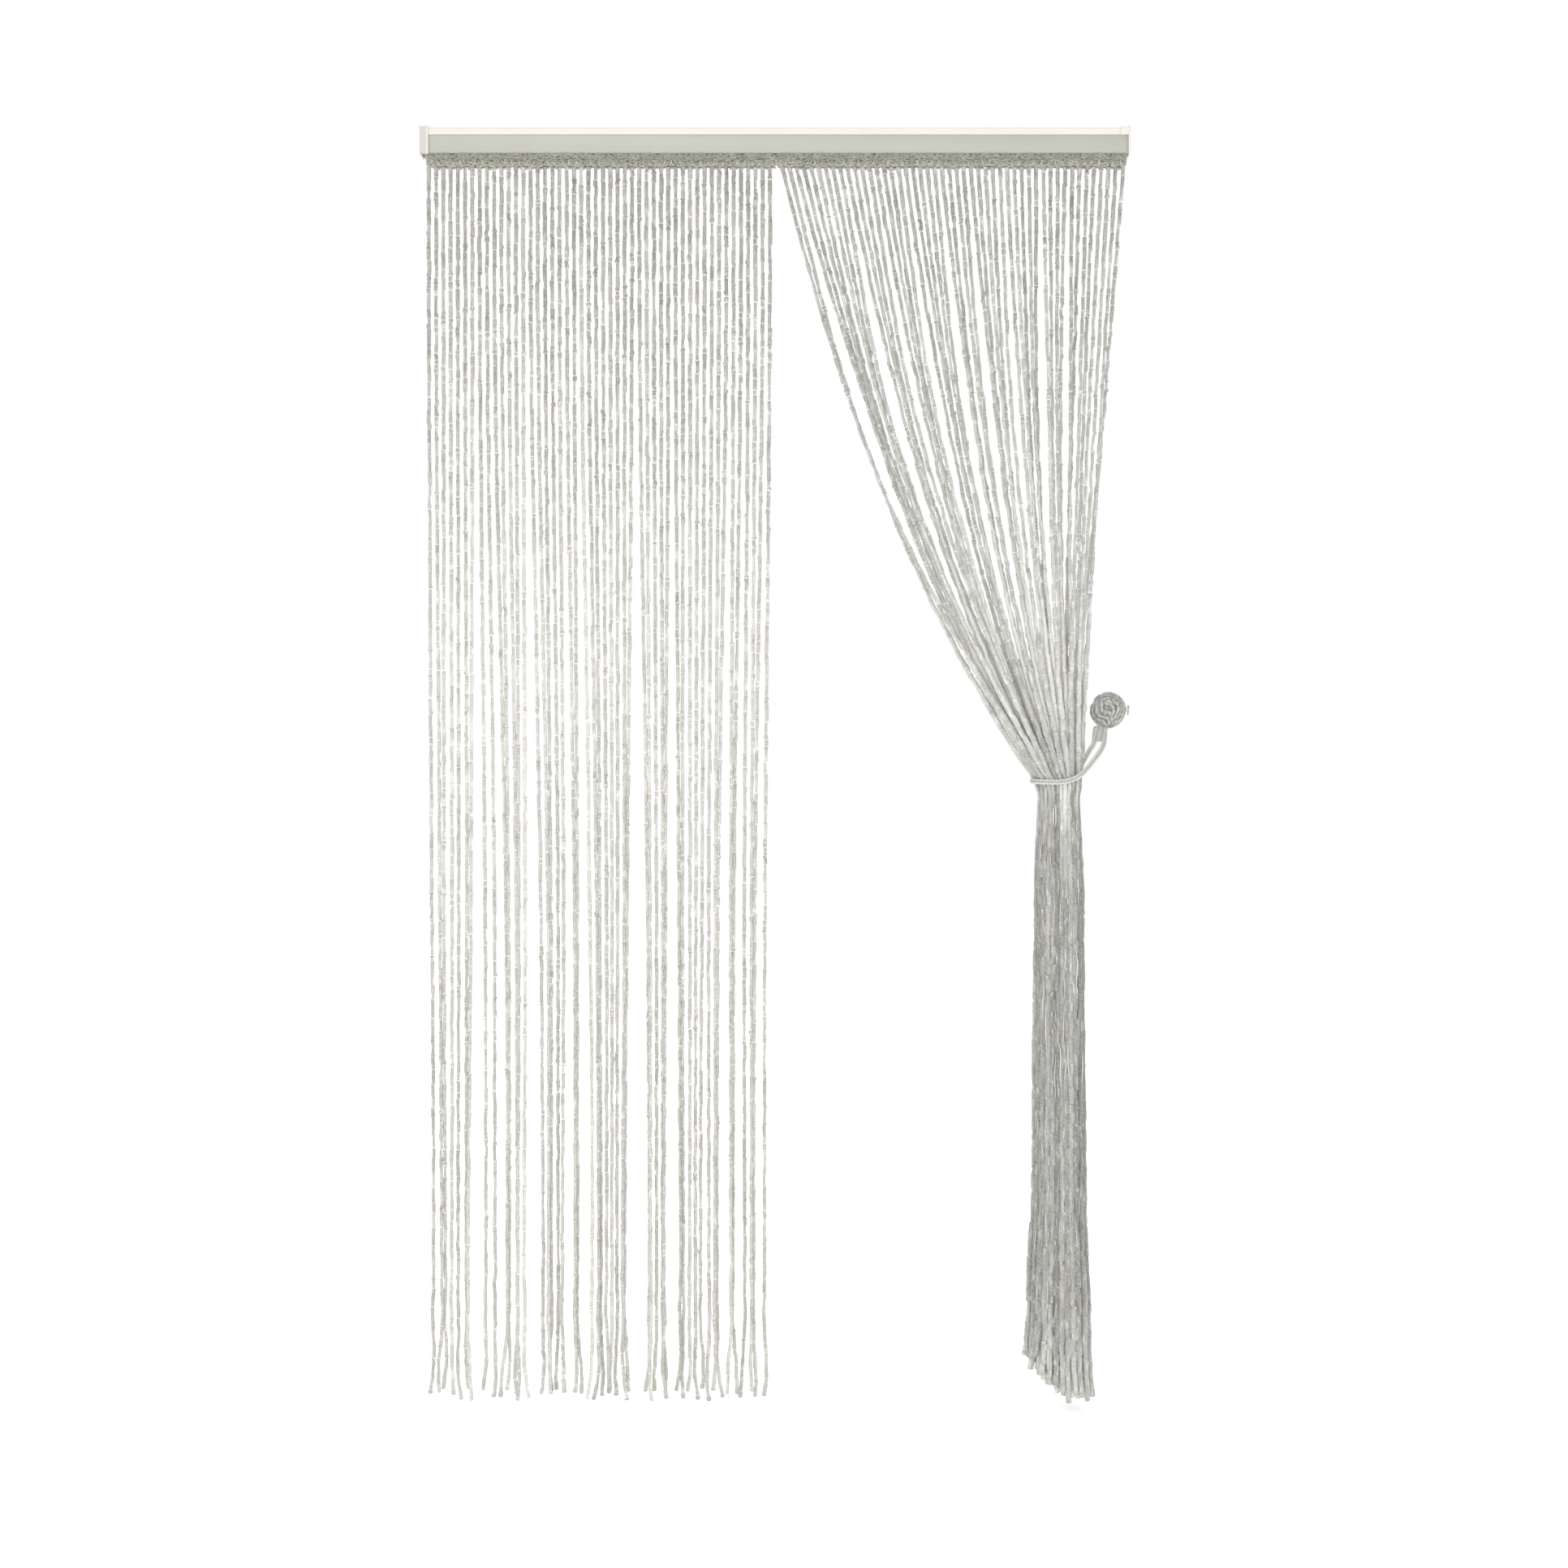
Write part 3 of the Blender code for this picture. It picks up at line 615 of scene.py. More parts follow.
def rightLines(plan, side, level):
    # drawn sideways to the tie, pulled part way into bunches, then down as an oval skirt
    across = strandNumber / (plan["count"] - 1)
    counts = np.array(side["bunches"])
    middles = np.cumsum(counts) - counts + (counts - 1) / 2
    target = np.repeat(middles, counts)[:, None] / (plan["count"] - 1)
    rightRoot = plan["rightFirst"] + plan["pitch"] * (plan["count"] - 1)
    curve = side["drawStraight"] * level + (1.0 - side["drawStraight"]) * level ** side["drawPower"]
    leftEdge = plan["rightFirst"] + (side["tieX"] - side["tieWidth"] / 2 - plan["rightFirst"]) * curve
    rightEdge = rightRoot + (side["tieX"] + side["tieWidth"] / 2 - rightRoot) * level
    squeeze = side["squeeze"][0] + (side["squeeze"][1] - side["squeeze"][0]) * across
    closing = squeeze * smoothStep(level / 0.45) * (1.0 - smoothStep((level - 0.72) / 0.28))
    share = across + (target - across) * closing - 0.5
    depth, oval = layerPlace(plan, side)
    x = (leftEdge + rightEdge) / 2 + (rightEdge - leftEdge) * share * (1.0 - (1.0 - oval) * level ** 4)
    x = x + side["wave"] * np.sin(9.0 * level + 1.7 * strandNumber) * smoothStep(level / 0.3)
    z = plan["top"] + (side["tieZ"] - plan["top"]) * level
    drawn = np.stack((x, depth * (1.0 - (1.0 - level) ** 2), z + 0.0 * x), axis=-1)
    used = lengthsAlong(drawn)[:, -1:]
    drop = (plan["length"] + plan["lengthSpread"] * (uneven(strandNumber, 3.7) - 1.0)
            + side["longer"] * (1.0 - across) ** 2 - used)
    below = level[:, 1:]
    width = (side["tieWidth"] + side["skirtSpread"] * below ** 0.6
             + side["skirtFlare"] * smoothStep((below - 0.68) / 0.20))
    nearTie = 1.0 - smoothStep((below - 0.03) / 0.15)
    width = width - (side["hug"][0] + side["hug"][1] * nearTie) * smoothStep(below / 0.03)
    x = side["tieX"] + width * (across - 0.5) * oval
    x = x + side["wave"] * np.sin(9.0 + 14.0 * below + 1.7 * strandNumber)
    x = x + side["curl"] * 2.0 * (across - 0.5) * np.maximum(0.0, (below - 0.90) / 0.10) ** 2
    x = x + side["flick"] * (across == 1.0) * np.maximum(0.0, (below - 0.985) / 0.015)
    skirt = np.stack((x, depth * (1.0 + side["skirtDepth"] * below), side["tieZ"] - drop * below), axis=-1)
    return np.concatenate((drawn, skirt), axis=1)


# a strand is a row of cells of glossy tape with a pinched neck after each
cellPlan = {
    "cells": 160,
    # plain, thin, short, knotted and light cells: how common, shortest, longest, girth, its spread, added tone,
    # girth of the neck that follows
    "kinds": [
        (0.33, 0.0100, 0.0240, 0.97, 0.06, 0.00, 0.90),
        (0.14, 0.0080, 0.0200, 0.80, 0.08, 0.10, 0.85),
        (0.29, 0.0050, 0.0095, 1.05, 0.07, -0.05, 0.86),
        (0.12, 0.0038, 0.0056, 1.16, 0.06, -0.10, 0.66),
        (0.12, 0.0035, 0.0080, 0.86, 0.10, 0.22, 0.80),
    ],
    "radius": 0.0031,
    "sides": 6,
    "shoulder": 0.0009,
    "neck": (0.0005, 0.0012),
    "breaks": 0.26,  # share of the necks that are bare light loops, drawn in or standing out
    "breakGirth": (0.45, 1.15),
    "breakTone": 0.44,
    "blend": 0.35,  # how far a cell's ends take on its neighbours' tones
    "turn": 0.45,  # how far the tape's flat turns from the front, radians
    "jog": 0.00038,  # how far a cell sits off the strand's line
    "taper": (0.93, 1.05),  # girth at a cell's far end, as a share of that at its near end
    "flatness": (0.62, 0.90),  # depth as a share of width
    "rootGirth": (1.45, 1.20),  # the root flares into the heading
    "endGirth": (1.15, 1.20, 0.60),  # the cut end is a small knot
    "endTone": -0.06,
    "strayRates": (97.0, 41.0),  # radians for each metre
    "evenNeck": 0.98,
    "drawOut": 0.65,  # how far the map's streaks are drawn out where the strand is even
    "tone": 0.34,
    "toneSpread": 0.07,
}
# at each height below the rail's top: girth, evenness, added tone, how far the line strays sideways, how much
# painted light the tape's thin edges get, how much painted fill light a strand gets in the middle of the bundle,
# and how far the strands differ in tone
leftBody = {
    "below": (0.063, 0.25, 0.60, 0.90, 1.25, 1.55, 1.80, 2.10),
    "girth": (1.16, 1.10, 1.02, 0.96, 0.98, 0.98, 0.98, 1.00),
    "even": (0.15, 0.0, 0.0, 0.0, 0.05, 0.15, 0.25, 0.35),
    "tone": (-0.19, -0.14, -0.02, 0.12, 0.07, -0.01, 0.06, 0.08),
    "stray": (0.0, 0.0004, 0.0003, 0.0003, 0.0004, 0.0005, 0.0006, 0.0010),
    "paintedEdgeLight": (0.20, 0.20, 0.20, 0.20, 0.20, 0.20, 0.20, 0.20),
    "paintedFillLight": (0.0, 0.0, 0.0, 0.0, 0.0, 0.0, 0.0, 0.0),
    "own": (0.05, 0.05, 0.05, 0.05, 0.05, 0.06, 0.07, 0.08),
    "paintedFoldLight": [],
}
rightBody = {
    "below": (0.063, 0.25, 0.50, 0.75, 0.95, 1.04, 1.078, 1.13, 1.25, 1.60, 1.92, 2.02, 2.10),
    "girth": (1.14, 1.00, 0.94, 1.06, 1.70, 1.95, 1.17, 1.50, 1.80, 1.90, 2.00, 1.90, 1.20),
    "even": (0.15, 0.0, 0.05, 0.15, 0.50, 0.70, 0.92, 0.92, 0.92, 0.92, 0.90, 0.80, 0.60),
    "tone": (-0.19, -0.10, -0.02, 0.00, 0.10, -0.08, -0.13, -0.25, -0.26, -0.27, -0.28, -0.15, 0.0),
    "stray": (0.0, 0.0006, 0.0010, 0.0012, 0.0008, 0.0004, 0.0, 0.0003, 0.0005, 0.0006, 0.0006, 0.0008, 0.0008),
    "paintedEdgeLight": (0.20, 0.20, 0.20, 0.20, 0.18, 0.16, 0.20, 0.20, 0.20, 0.20, 0.22, 0.28, 0.30),
    "paintedFillLight": (0.0, 0.05, 0.10, 0.45, 1.20, 1.40, 0.50, 0.20, 0.20, 0.25, 0.30, 0.55, 0.60),
    "own": (0.04, 0.04, 0.04, 0.05, 0.07, 0.08, 0.08, 0.07, 0.06, 0.07, 0.08, 0.08, 0.06),
    # painted highlights and painted shade along folds: across at the top and bottom, top and bottom below the
    # rail's top, half width, added tone
    "paintedFoldLight": [
        (0.4745, 0.4755, 1.070, 1.160, 0.0074, 0.50),
        (0.4640, 0.4990, 1.150, 1.182, 0.0060, 0.34),
        (0.4630, 0.4830, 1.158, 1.138, 0.0050, -0.26),
        (0.4930, 0.5030, 1.205, 1.232, 0.0045, 0.24),
        (0.4872, 0.4872, 1.080, 1.150, 0.0020, -0.16),
        (0.4950, 0.4950, 1.075, 1.140, 0.0028, 0.26),
        (0.4360, 0.4360, 1.085, 1.165, 0.0028, 0.20),
        (0.4445, 0.4440, 1.085, 1.160, 0.0026, 0.18),
        (0.4560, 0.4570, 1.090, 1.230, 0.0060, -0.10),
        (0.4710, 0.4810, 1.160, 1.250, 0.0070, 0.24),
        (0.4990, 0.5030, 1.150, 2.020, 0.0035, -0.14),
        (0.4500, 0.4490, 1.240, 1.330, 0.0030, 0.12),
        (0.4920, 0.4930, 1.290, 1.460, 0.0030, 0.16),
        (0.4560, 0.4555, 1.390, 1.580, 0.0028, -0.14),
        (0.4600, 0.4595, 1.390, 1.580, 0.0026, 0.14),
        (0.4310, 0.4300, 1.400, 1.560, 0.0030, 0.10),
        (0.4810, 0.4830, 1.440, 1.700, 0.0030, 0.12),
        (0.4450, 0.4430, 1.600, 1.900, 0.0030, -0.12),
        (0.4680, 0.4700, 1.620, 1.960, 0.0030, 0.14),
        (0.4890, 0.4910, 1.560, 1.840, 0.0030, -0.12),
    ],
}


def atHeight(body, name, below):
    # a body's value at distances below the rail's top, straight between the heights that it states
    return np.interp(below, body["below"], body[name])


def strandTubes(lines, inside, seed, plan, body):
    # girth along a strand: neck, shoulder, shoulder, neck in each cell, the ellipse turned at random;
    # a painted fold highlight or shade adds tone * exp(-(distance from its line / half width)^2)
    chance = np.random.default_rng(seed)
    strands = len(lines)
    shape = (strands, plan["cells"])
    table = np.array(plan["kinds"])
    kind = chance.choice(len(table), size=shape, p=table[:, 0])
    span = table[kind, 1] + (table[kind, 2] - table[kind, 1]) * chance.random(shape)
    along = lengthsAlong(lines)
    span *= along[:, -1:] / span.sum(axis=1, keepdims=True)
    start = np.cumsum(span, axis=1) - span
    middle = -pointsAt(lines, along, start + 0.5 * span)[..., 2]
    even = atHeight(body, "even", middle)
    girth = table[kind, 3] + table[kind, 4] * chance.uniform(-1.0, 1.0, shape)
    girth += (1.0 - girth) * even
    bare = chance.random(shape) < plan["breaks"] * (1.0 - 0.8 * even)
    neckGirth = np.where(bare, chance.uniform(*plan["breakGirth"], shape), table[kind, 6])
    neckGirth += (plan["evenNeck"] - neckGirth) * even
    neckLong = chance.uniform(*plan["neck"], shape)
    before = np.roll(neckGirth, 1, axis=1)
    shoulder = np.minimum(plan["shoulder"], 0.25 * span)
    stops = np.stack((0.0 * span, shoulder, span - neckLong - shoulder, span - neckLong), axis=-1)
    stops = stops + start[..., None]
    size = np.stack((before, girth, girth * chance.uniform(*plan["taper"], shape), neckGirth), axis=-1)
    flat = np.repeat(chance.uniform(*plan["flatness"], shape), 4, axis=1)
    turned = np.repeat(chance.normal(0.0, plan["turn"], shape), 4, axis=1)
    # tone: each strand and each cell has its own, and bare necks are light
    own = chance.normal(0.0, 1.0, (strands, 1)) * atHeight(body, "own", middle)
    spread = 1.0 - 0.8 * even
    cellTone = plan["tone"] + own + atHeight(body, "tone", middle)
    # painted fill light: strands in the middle of the bundle are coloured lighter where the bundle would shade
    # them
    cellTone += inside * atHeight(body, "paintedFillLight", middle)
    cellTone += spread * (table[kind, 5] + chance.normal(0.0, plan["toneSpread"], shape))
    nowLight = cellTone + np.where(bare, plan["breakTone"], 0.06) * spread
    lightBefore = np.roll(nowLight, 1, axis=1)
    blended = [cellTone + plan["blend"] * (np.roll(cellTone, step, axis=1) - cellTone) for step in (1, -1)]
    tone = np.stack((lightBefore, blended[0], blended[1], nowLight), axis=-1)
    stops = stops.reshape(strands, -1)
    centres = pointsAt(lines, along, stops)
    below = -centres[..., 2]
    size = size.reshape(strands, -1) * atHeight(body, "girth", below)
    size[:, :2] = plan["rootGirth"]
    size[:, -3:] = np.maximum(size[:, -3:], 0.95) * np.array(plan["endGirth"])
    tone = tone.reshape(strands, -1)
    tone[:, (0, -1)] = plan["tone"] + plan["endTone"]
    # the line strays as two sines multiplied, and each cell sits a little off it
    phase = chance.uniform(0.0, 2 * np.pi, (strands, 1))
    stray = atHeight(body, "stray", below)
    quick, slow = plan["strayRates"]
    centres[..., 0] += stray * np.sin(stops * quick + phase) * np.cos(stops * slow + 2 * phase)
    jog = plan["jog"] * (1.0 - 0.8 * even) * chance.normal(0.0, 1.0, shape)
    centres[:, 4:, 0] += np.repeat(jog, 4, axis=1)[:, 4:]
    # painted highlights and painted shade: each fold lightens or darkens the strands near its line
    for topX, bottomX, top, bottom, halfWide, added in body["paintedFoldLight"]:
        level = (below - top) / (bottom - top)
        away = (centres[..., 0] - topX - (bottomX - topX) * level) / halfWide
        tone += added * np.exp(-away ** 2) * smoothStep(level / 0.15) * smoothStep((1.0 - level) / 0.15)
    half = plan["radius"] * size
    rings = ringsAround(centres, sideways, half, half * flat, turned, plan["sides"])
    # painted light: the tape's two thin edges are coloured lighter, as if light came through them, by cos^2 of
    # the angle from them
    angle = np.arange(plan["sides"]) * 2 * np.pi / plan["sides"]
    paintedEdgeLight = atHeight(body, "paintedEdgeLight", below)[..., None]
    shade = tone[..., None] + paintedEdgeLight * np.cos(angle) ** 2
    # the map's distances are shortened where the strand is even, which draws out its streaks
    drawnOut = 1.0 - plan["drawOut"] * atHeight(body, "even", below)
    steps = np.diff(stops, axis=1) * drawnOut[:, 1:]
    mapped = np.concatenate((stops[:, :1], np.cumsum(steps, axis=1)), axis=1)
    return rings, mapped + 0.37 * np.arange(strands)[:, None], shade


def addStrands(panel, lines, inside, seed, nodeName, body, material):
    halfWay = len(lines) // 2
    for name, part, number in (("Outer", slice(0, halfWay), 0), ("Inner", slice(halfWay, None), 1)):
        rings, along, tone = strandTubes(lines[part], inside[part], seed + number, cellPlan, body)
        addTubes(panel + name + "Strands", rings, along, tone, material, "strand", nodeName)


fineLevel = np.linspace(0.0, 1.0, 160)[None]
addStrands("left", leftLines(strandPlan, leftPlan, fineLevel), 0.0 * strandNumber, 11, "left_panel", leftBody,
           strandYarn)
# how far each gathered strand lies in the middle of the bundle, which sets its painted fill light
layer = np.array(rightPlan["layerOrder"])[strandNumber % len(rightPlan["layerOrder"])]
fromSide = 1.0 - (2.0 * strandNumber / (strandPlan["count"] - 1) - 1.0) ** 2
inMiddle = (1.0 - np.abs(layer - 2.5) / 2.5) * fromSide
gathered = rightLines(strandPlan, rightPlan, fineLevel)
addStrands("right", gathered, inMiddle, 23, "right_panel", rightBody, gatheredYarn)

# light yarn that stands out on the front of the gathered strands below the tie
lightYarnPlan = {
    "count": 210,
    "levels": (0.015, 0.90),  # from the tie to the cut ends
    "crowding": 1.15,  # above 1 puts more of them near the tie
    "long": (0.004, 0.085),
    "shortness": 2.4,
    "halfWide": (0.0007, 0.0013),
    "out": 0.0058,  # in front of the strand's line
    "aside": 0.0046,
    "wave": 0.0013,
    "waveRate": 110.0,  # radians for each metre
    "lean": 0.0022,
    "points": 14,
    "tone": (0.28, 0.84),
}


def addLightYarn(lines, plan, nodeName):
    # each follows a front strand a little to one side of it, leans by a share of its length and wavers as a sine
    chance = np.random.default_rng(61)
    front = lines[layer[:, 0] < 2]
    run = lengthsAlong(front)
    picked = chance.integers(len(front), size=plan["count"])
    lowest, highest = plan["levels"]
    level = lowest + (highest - lowest) * chance.random(plan["count"]) ** plan["crowding"]
    shortest, longest = plan["long"]
    length = shortest + (longest - shortest) * chance.random(plan["count"]) ** plan["shortness"]
    atTie = run[picked, fineLevel.size - 1]
    start = atTie + (run[picked, -1] - atTie) * level
    share = np.linspace(0.0, 1.0, plan["points"])
    centres = pointsAt(front[picked], run[picked], start[:, None] + length[:, None] * share)
    aside, wave, lean = chance.uniform(-1.0, 1.0, (3, plan["count"], 1))
    turn = chance.uniform(0.0, 6.28, (plan["count"], 1)) + plan["waveRate"] * length[:, None] * share
    centres[..., 0] += plan["aside"] * aside + plan["wave"] * wave * np.sin(turn) + plan["lean"] * lean * share
    centres[..., 1] -= plan["out"]
    half = chance.uniform(*plan["halfWide"], (plan["count"], 1)) * (0.5 + np.sin(np.pi * share)) / 1.5
    rings = ringsAround(centres, sideways, half, half, 0.0 * half, 4)
    tone = chance.uniform(*plan["tone"], (plan["count"], 1, 1))
    addTubes("rightLightYarn", rings, lengthsAlong(centres), tone, gatheredYarn, "strand", nodeName)


addLightYarn(gathered, lightYarnPlan, "right_panel")
print("strands made")


# crocheted heading: scribbled courses of looped yarn over a flat tape, the tape's bead inside the rail
headingPlan = {
    # how far each heading reaches beyond its first and last strands: the two meet in the middle
    "ends": {"left": (0.0035, 0.0098), "right": (0.0098, 0.0040)},
    "loop": 0.0072,  # distance along the heading from one loop to the next
    "courses": [
        # middle height, half height, half width, tone (lower in the top courses: painted shade under the rail),
        # distance from the middle, greatest height
        (-0.0480, 0.0028, 0.0042, 0.13, -0.0146, -0.0464),
        (-0.0492, 0.0030, 0.0042, 0.16, -0.0130, -0.0464),
        (-0.0512, 0.0036, 0.0044, 0.17, -0.0110, -0.0464),
        (-0.0541, 0.0036, 0.0044, 0.22, -0.0086, -0.0464),
        (-0.0568, 0.0034, 0.0042, 0.28, -0.0065, -0.0464),
        (-0.0592, 0.0024, 0.0038, 0.35, -0.0048, -0.0464),
        (-0.0480, 0.0030, 0.0032, 0.20, 0.0040, -0.0453),
        (-0.0520, 0.0034, 0.0034, 0.24, 0.0040, -0.0453),
        (-0.0562, 0.0034, 0.0034, 0.32, 0.0040, -0.0453),
        (-0.0597, 0.0028, 0.0030, 0.44, 0.0040, -0.0453),
    ],
    "depth": 0.0007,
    "margin": 0.003,  # the loops' middles keep this far inside the heading's ends
    "drift": 1.3,
    "toneSpread": 0.045,
    "yarn": 0.0024,
    "flatness": 0.50,
    "pointsPerLoop": 10,
    "sides": 4,
    # section of bead, neck and thick crocheted band: places forwards and up, from the back round the top
    "section": [
        (0.0032, -0.0590),
        (0.0036, -0.0455),
        (0.0015, -0.0450),
        (0.0015, -0.0421),
        (0.0070, -0.0421),
        (0.0070, -0.0350),
        (-0.0070, -0.0350),
        (-0.0070, -0.0421),
        (-0.0015, -0.0421),
        (-0.0015, -0.0450),
        (-0.0136, -0.0462),
        (-0.0108, -0.0508),
        (-0.0070, -0.0552),
        (-0.0042, -0.0595),
    ],
    "bandTone": 0.32,
    "stitchTone": 0.78,
    "stitchYarn": 0.00065,
    "stitchOut": (0.0070, 0.0056),  # in front of the heading's middle at the foot, and how much more at the top
    "stitchShare": 0.55,  # of the places that have one
    "stitchFoot": (0.0028, 0.0006),  # beside a strand's root, and below it
    "stitchLean": (0.0016, 0.0066),
    "stitchRise": (0.0050, 0.0120),
    "stitchBend": 0.0005,
}


def addLoopedYarn(side, left, width, plan, nodeName):
    # overlapping loops: x = left + loop * t / 2pi + half width cos(t + a), z = middle + half height sin(t + b),
    # y = course + depth cos(2 t + c), where a, b and c wander slowly; the top of the front laps over the rail
    chance = np.random.default_rng(len(side))
    table = np.array(plan["courses"])
    runs = len(table)
    loops = round((width - 2 * plan["margin"]) / plan["loop"])
    t = np.linspace(0.0, 2 * np.pi * loops, loops * plan["pointsPerLoop"] + 1)[None]
    seed = chance.uniform(0.0, 6.28, (5, runs, 1))
    rate = chance.uniform(0.11, 0.31, (5, runs, 1))
    drift = plan["drift"] * np.sin(rate * t + seed)
    swell = 1.0 + 0.20 * np.sin(0.43 * t + seed[3]) + 0.14 * np.sin(0.171 * t + seed[4])
    way = np.where(np.arange(runs)[:, None] % 2 == 0, 1.0, -1.0)
    x = left + plan["margin"] + (width - 2 * plan["margin"]) * t / t.max()
    x = x + table[:, 2:3] * swell * np.cos(way * t + drift[0])
    z = table[:, 0:1] + table[:, 1:2] * swell * np.sin(t + drift[1]) + 0.0006 * drift[2]
    y = table[:, 4:5] + plan["depth"] * np.cos(2.0 * t + drift[3])
    x = np.clip(x, left + plan["yarn"], left + width - plan["yarn"])
    lines = np.stack((x, y, np.minimum(z, table[:, 5:6])), axis=-1)
    along = lengthsAlong(lines)
    half = np.full(along.shape, plan["yarn"])
    rings = ringsAround(lines, forwards, half * plan["flatness"], half, 0.0 * half,
                        plan["sides"])
    loopTone = np.repeat(chance.normal(0.0, plan["toneSpread"], (runs, loops)), plan["pointsPerLoop"], axis=1)
    loopTone = np.concatenate((loopTone, loopTone[:, -1:]), axis=1)
    # the courses' tones darken towards the top: painted shade under the rail
    tone = table[:, 3:4] + loopTone + 0.05 * np.cos(2.0 * t)
    addTubes(side + "HeadingLoops", rings, along + seed[0], tone[..., None], headingYarn, "strand", nodeName)


def addTape(side, left, width, plan, nodeName):
    # the section carried straight along the heading
    section = np.array(plan["section"])[::-1]
    stations = np.linspace(left, left + width, 97)
    rings = np.empty((1, len(stations), len(section), 3))
    rings[..., 0] = stations[:, None]
    rings[..., 1:] = section
    tape = addTubes(side + "HeadingTape", rings, stations[None], plan["bandTone"], headingYarn, "strand",
                    nodeName)
    tape.data.set_sharp_from_angle(angle=math.radians(40.0))


def addLightStitches(side, firstX, plan, nodeName):
    # thin light yarns that slant up from each side of a strand's root, each a bent line of three points
    chance = np.random.default_rng(40 + len(side))
    roots = firstX + strandPlan["pitch"] * np.arange(strandPlan["count"])
    beside, under = plan["stitchFoot"]
    starts = np.concatenate((roots[:-1] + beside, roots[1:] - beside))
    lean = np.concatenate((np.ones(len(roots) - 1), -np.ones(len(roots) - 1)))
    lean = lean * chance.uniform(*plan["stitchLean"], len(starts))
    rise = chance.uniform(*plan["stitchRise"], len(starts))
    kept = chance.random(len(starts)) < plan["stitchShare"]
    starts, lean, rise = starts[kept], lean[kept], rise[kept]
    share = np.array((0.0, 0.5, 1.0))
    bend = plan["stitchBend"] * np.sin(np.pi * share) * np.sign(lean)[:, None]
    x = starts[:, None] + lean[:, None] * share + bend
    z = strandPlan["top"] - under + rise[:, None] * share
    y = np.broadcast_to(-plan["stitchOut"][0] - plan["stitchOut"][1] * share, x.shape)
    lines = np.stack((x, y, z), axis=-1)
    half = np.full(x.shape, plan["stitchYarn"]) * np.array((0.8, 1.0, 0.5))
    rings = ringsAround(lines, forwards, half, half, 0.0 * half, 4)
    addTubes(side + "HeadingStitches", rings, lengthsAlong(lines), plan["stitchTone"], headingYarn, "strand",
             nodeName)


def makeHeading(side, firstX, plan, nodeName):
    before, after = plan["ends"][side]
    left = firstX - before
    width = strandPlan["pitch"] * (strandPlan["count"] - 1) + before + after
    addTape(side, left, width, plan, nodeName)
    addLoopedYarn(side, left, width, plan, nodeName)
    addLightStitches(side, firstX, plan, nodeName)


makeHeading("left", strandPlan["leftFirst"], headingPlan, "left_panel")
makeHeading("right", strandPlan["rightFirst"], headingPlan, "right_panel")
print("headings made")


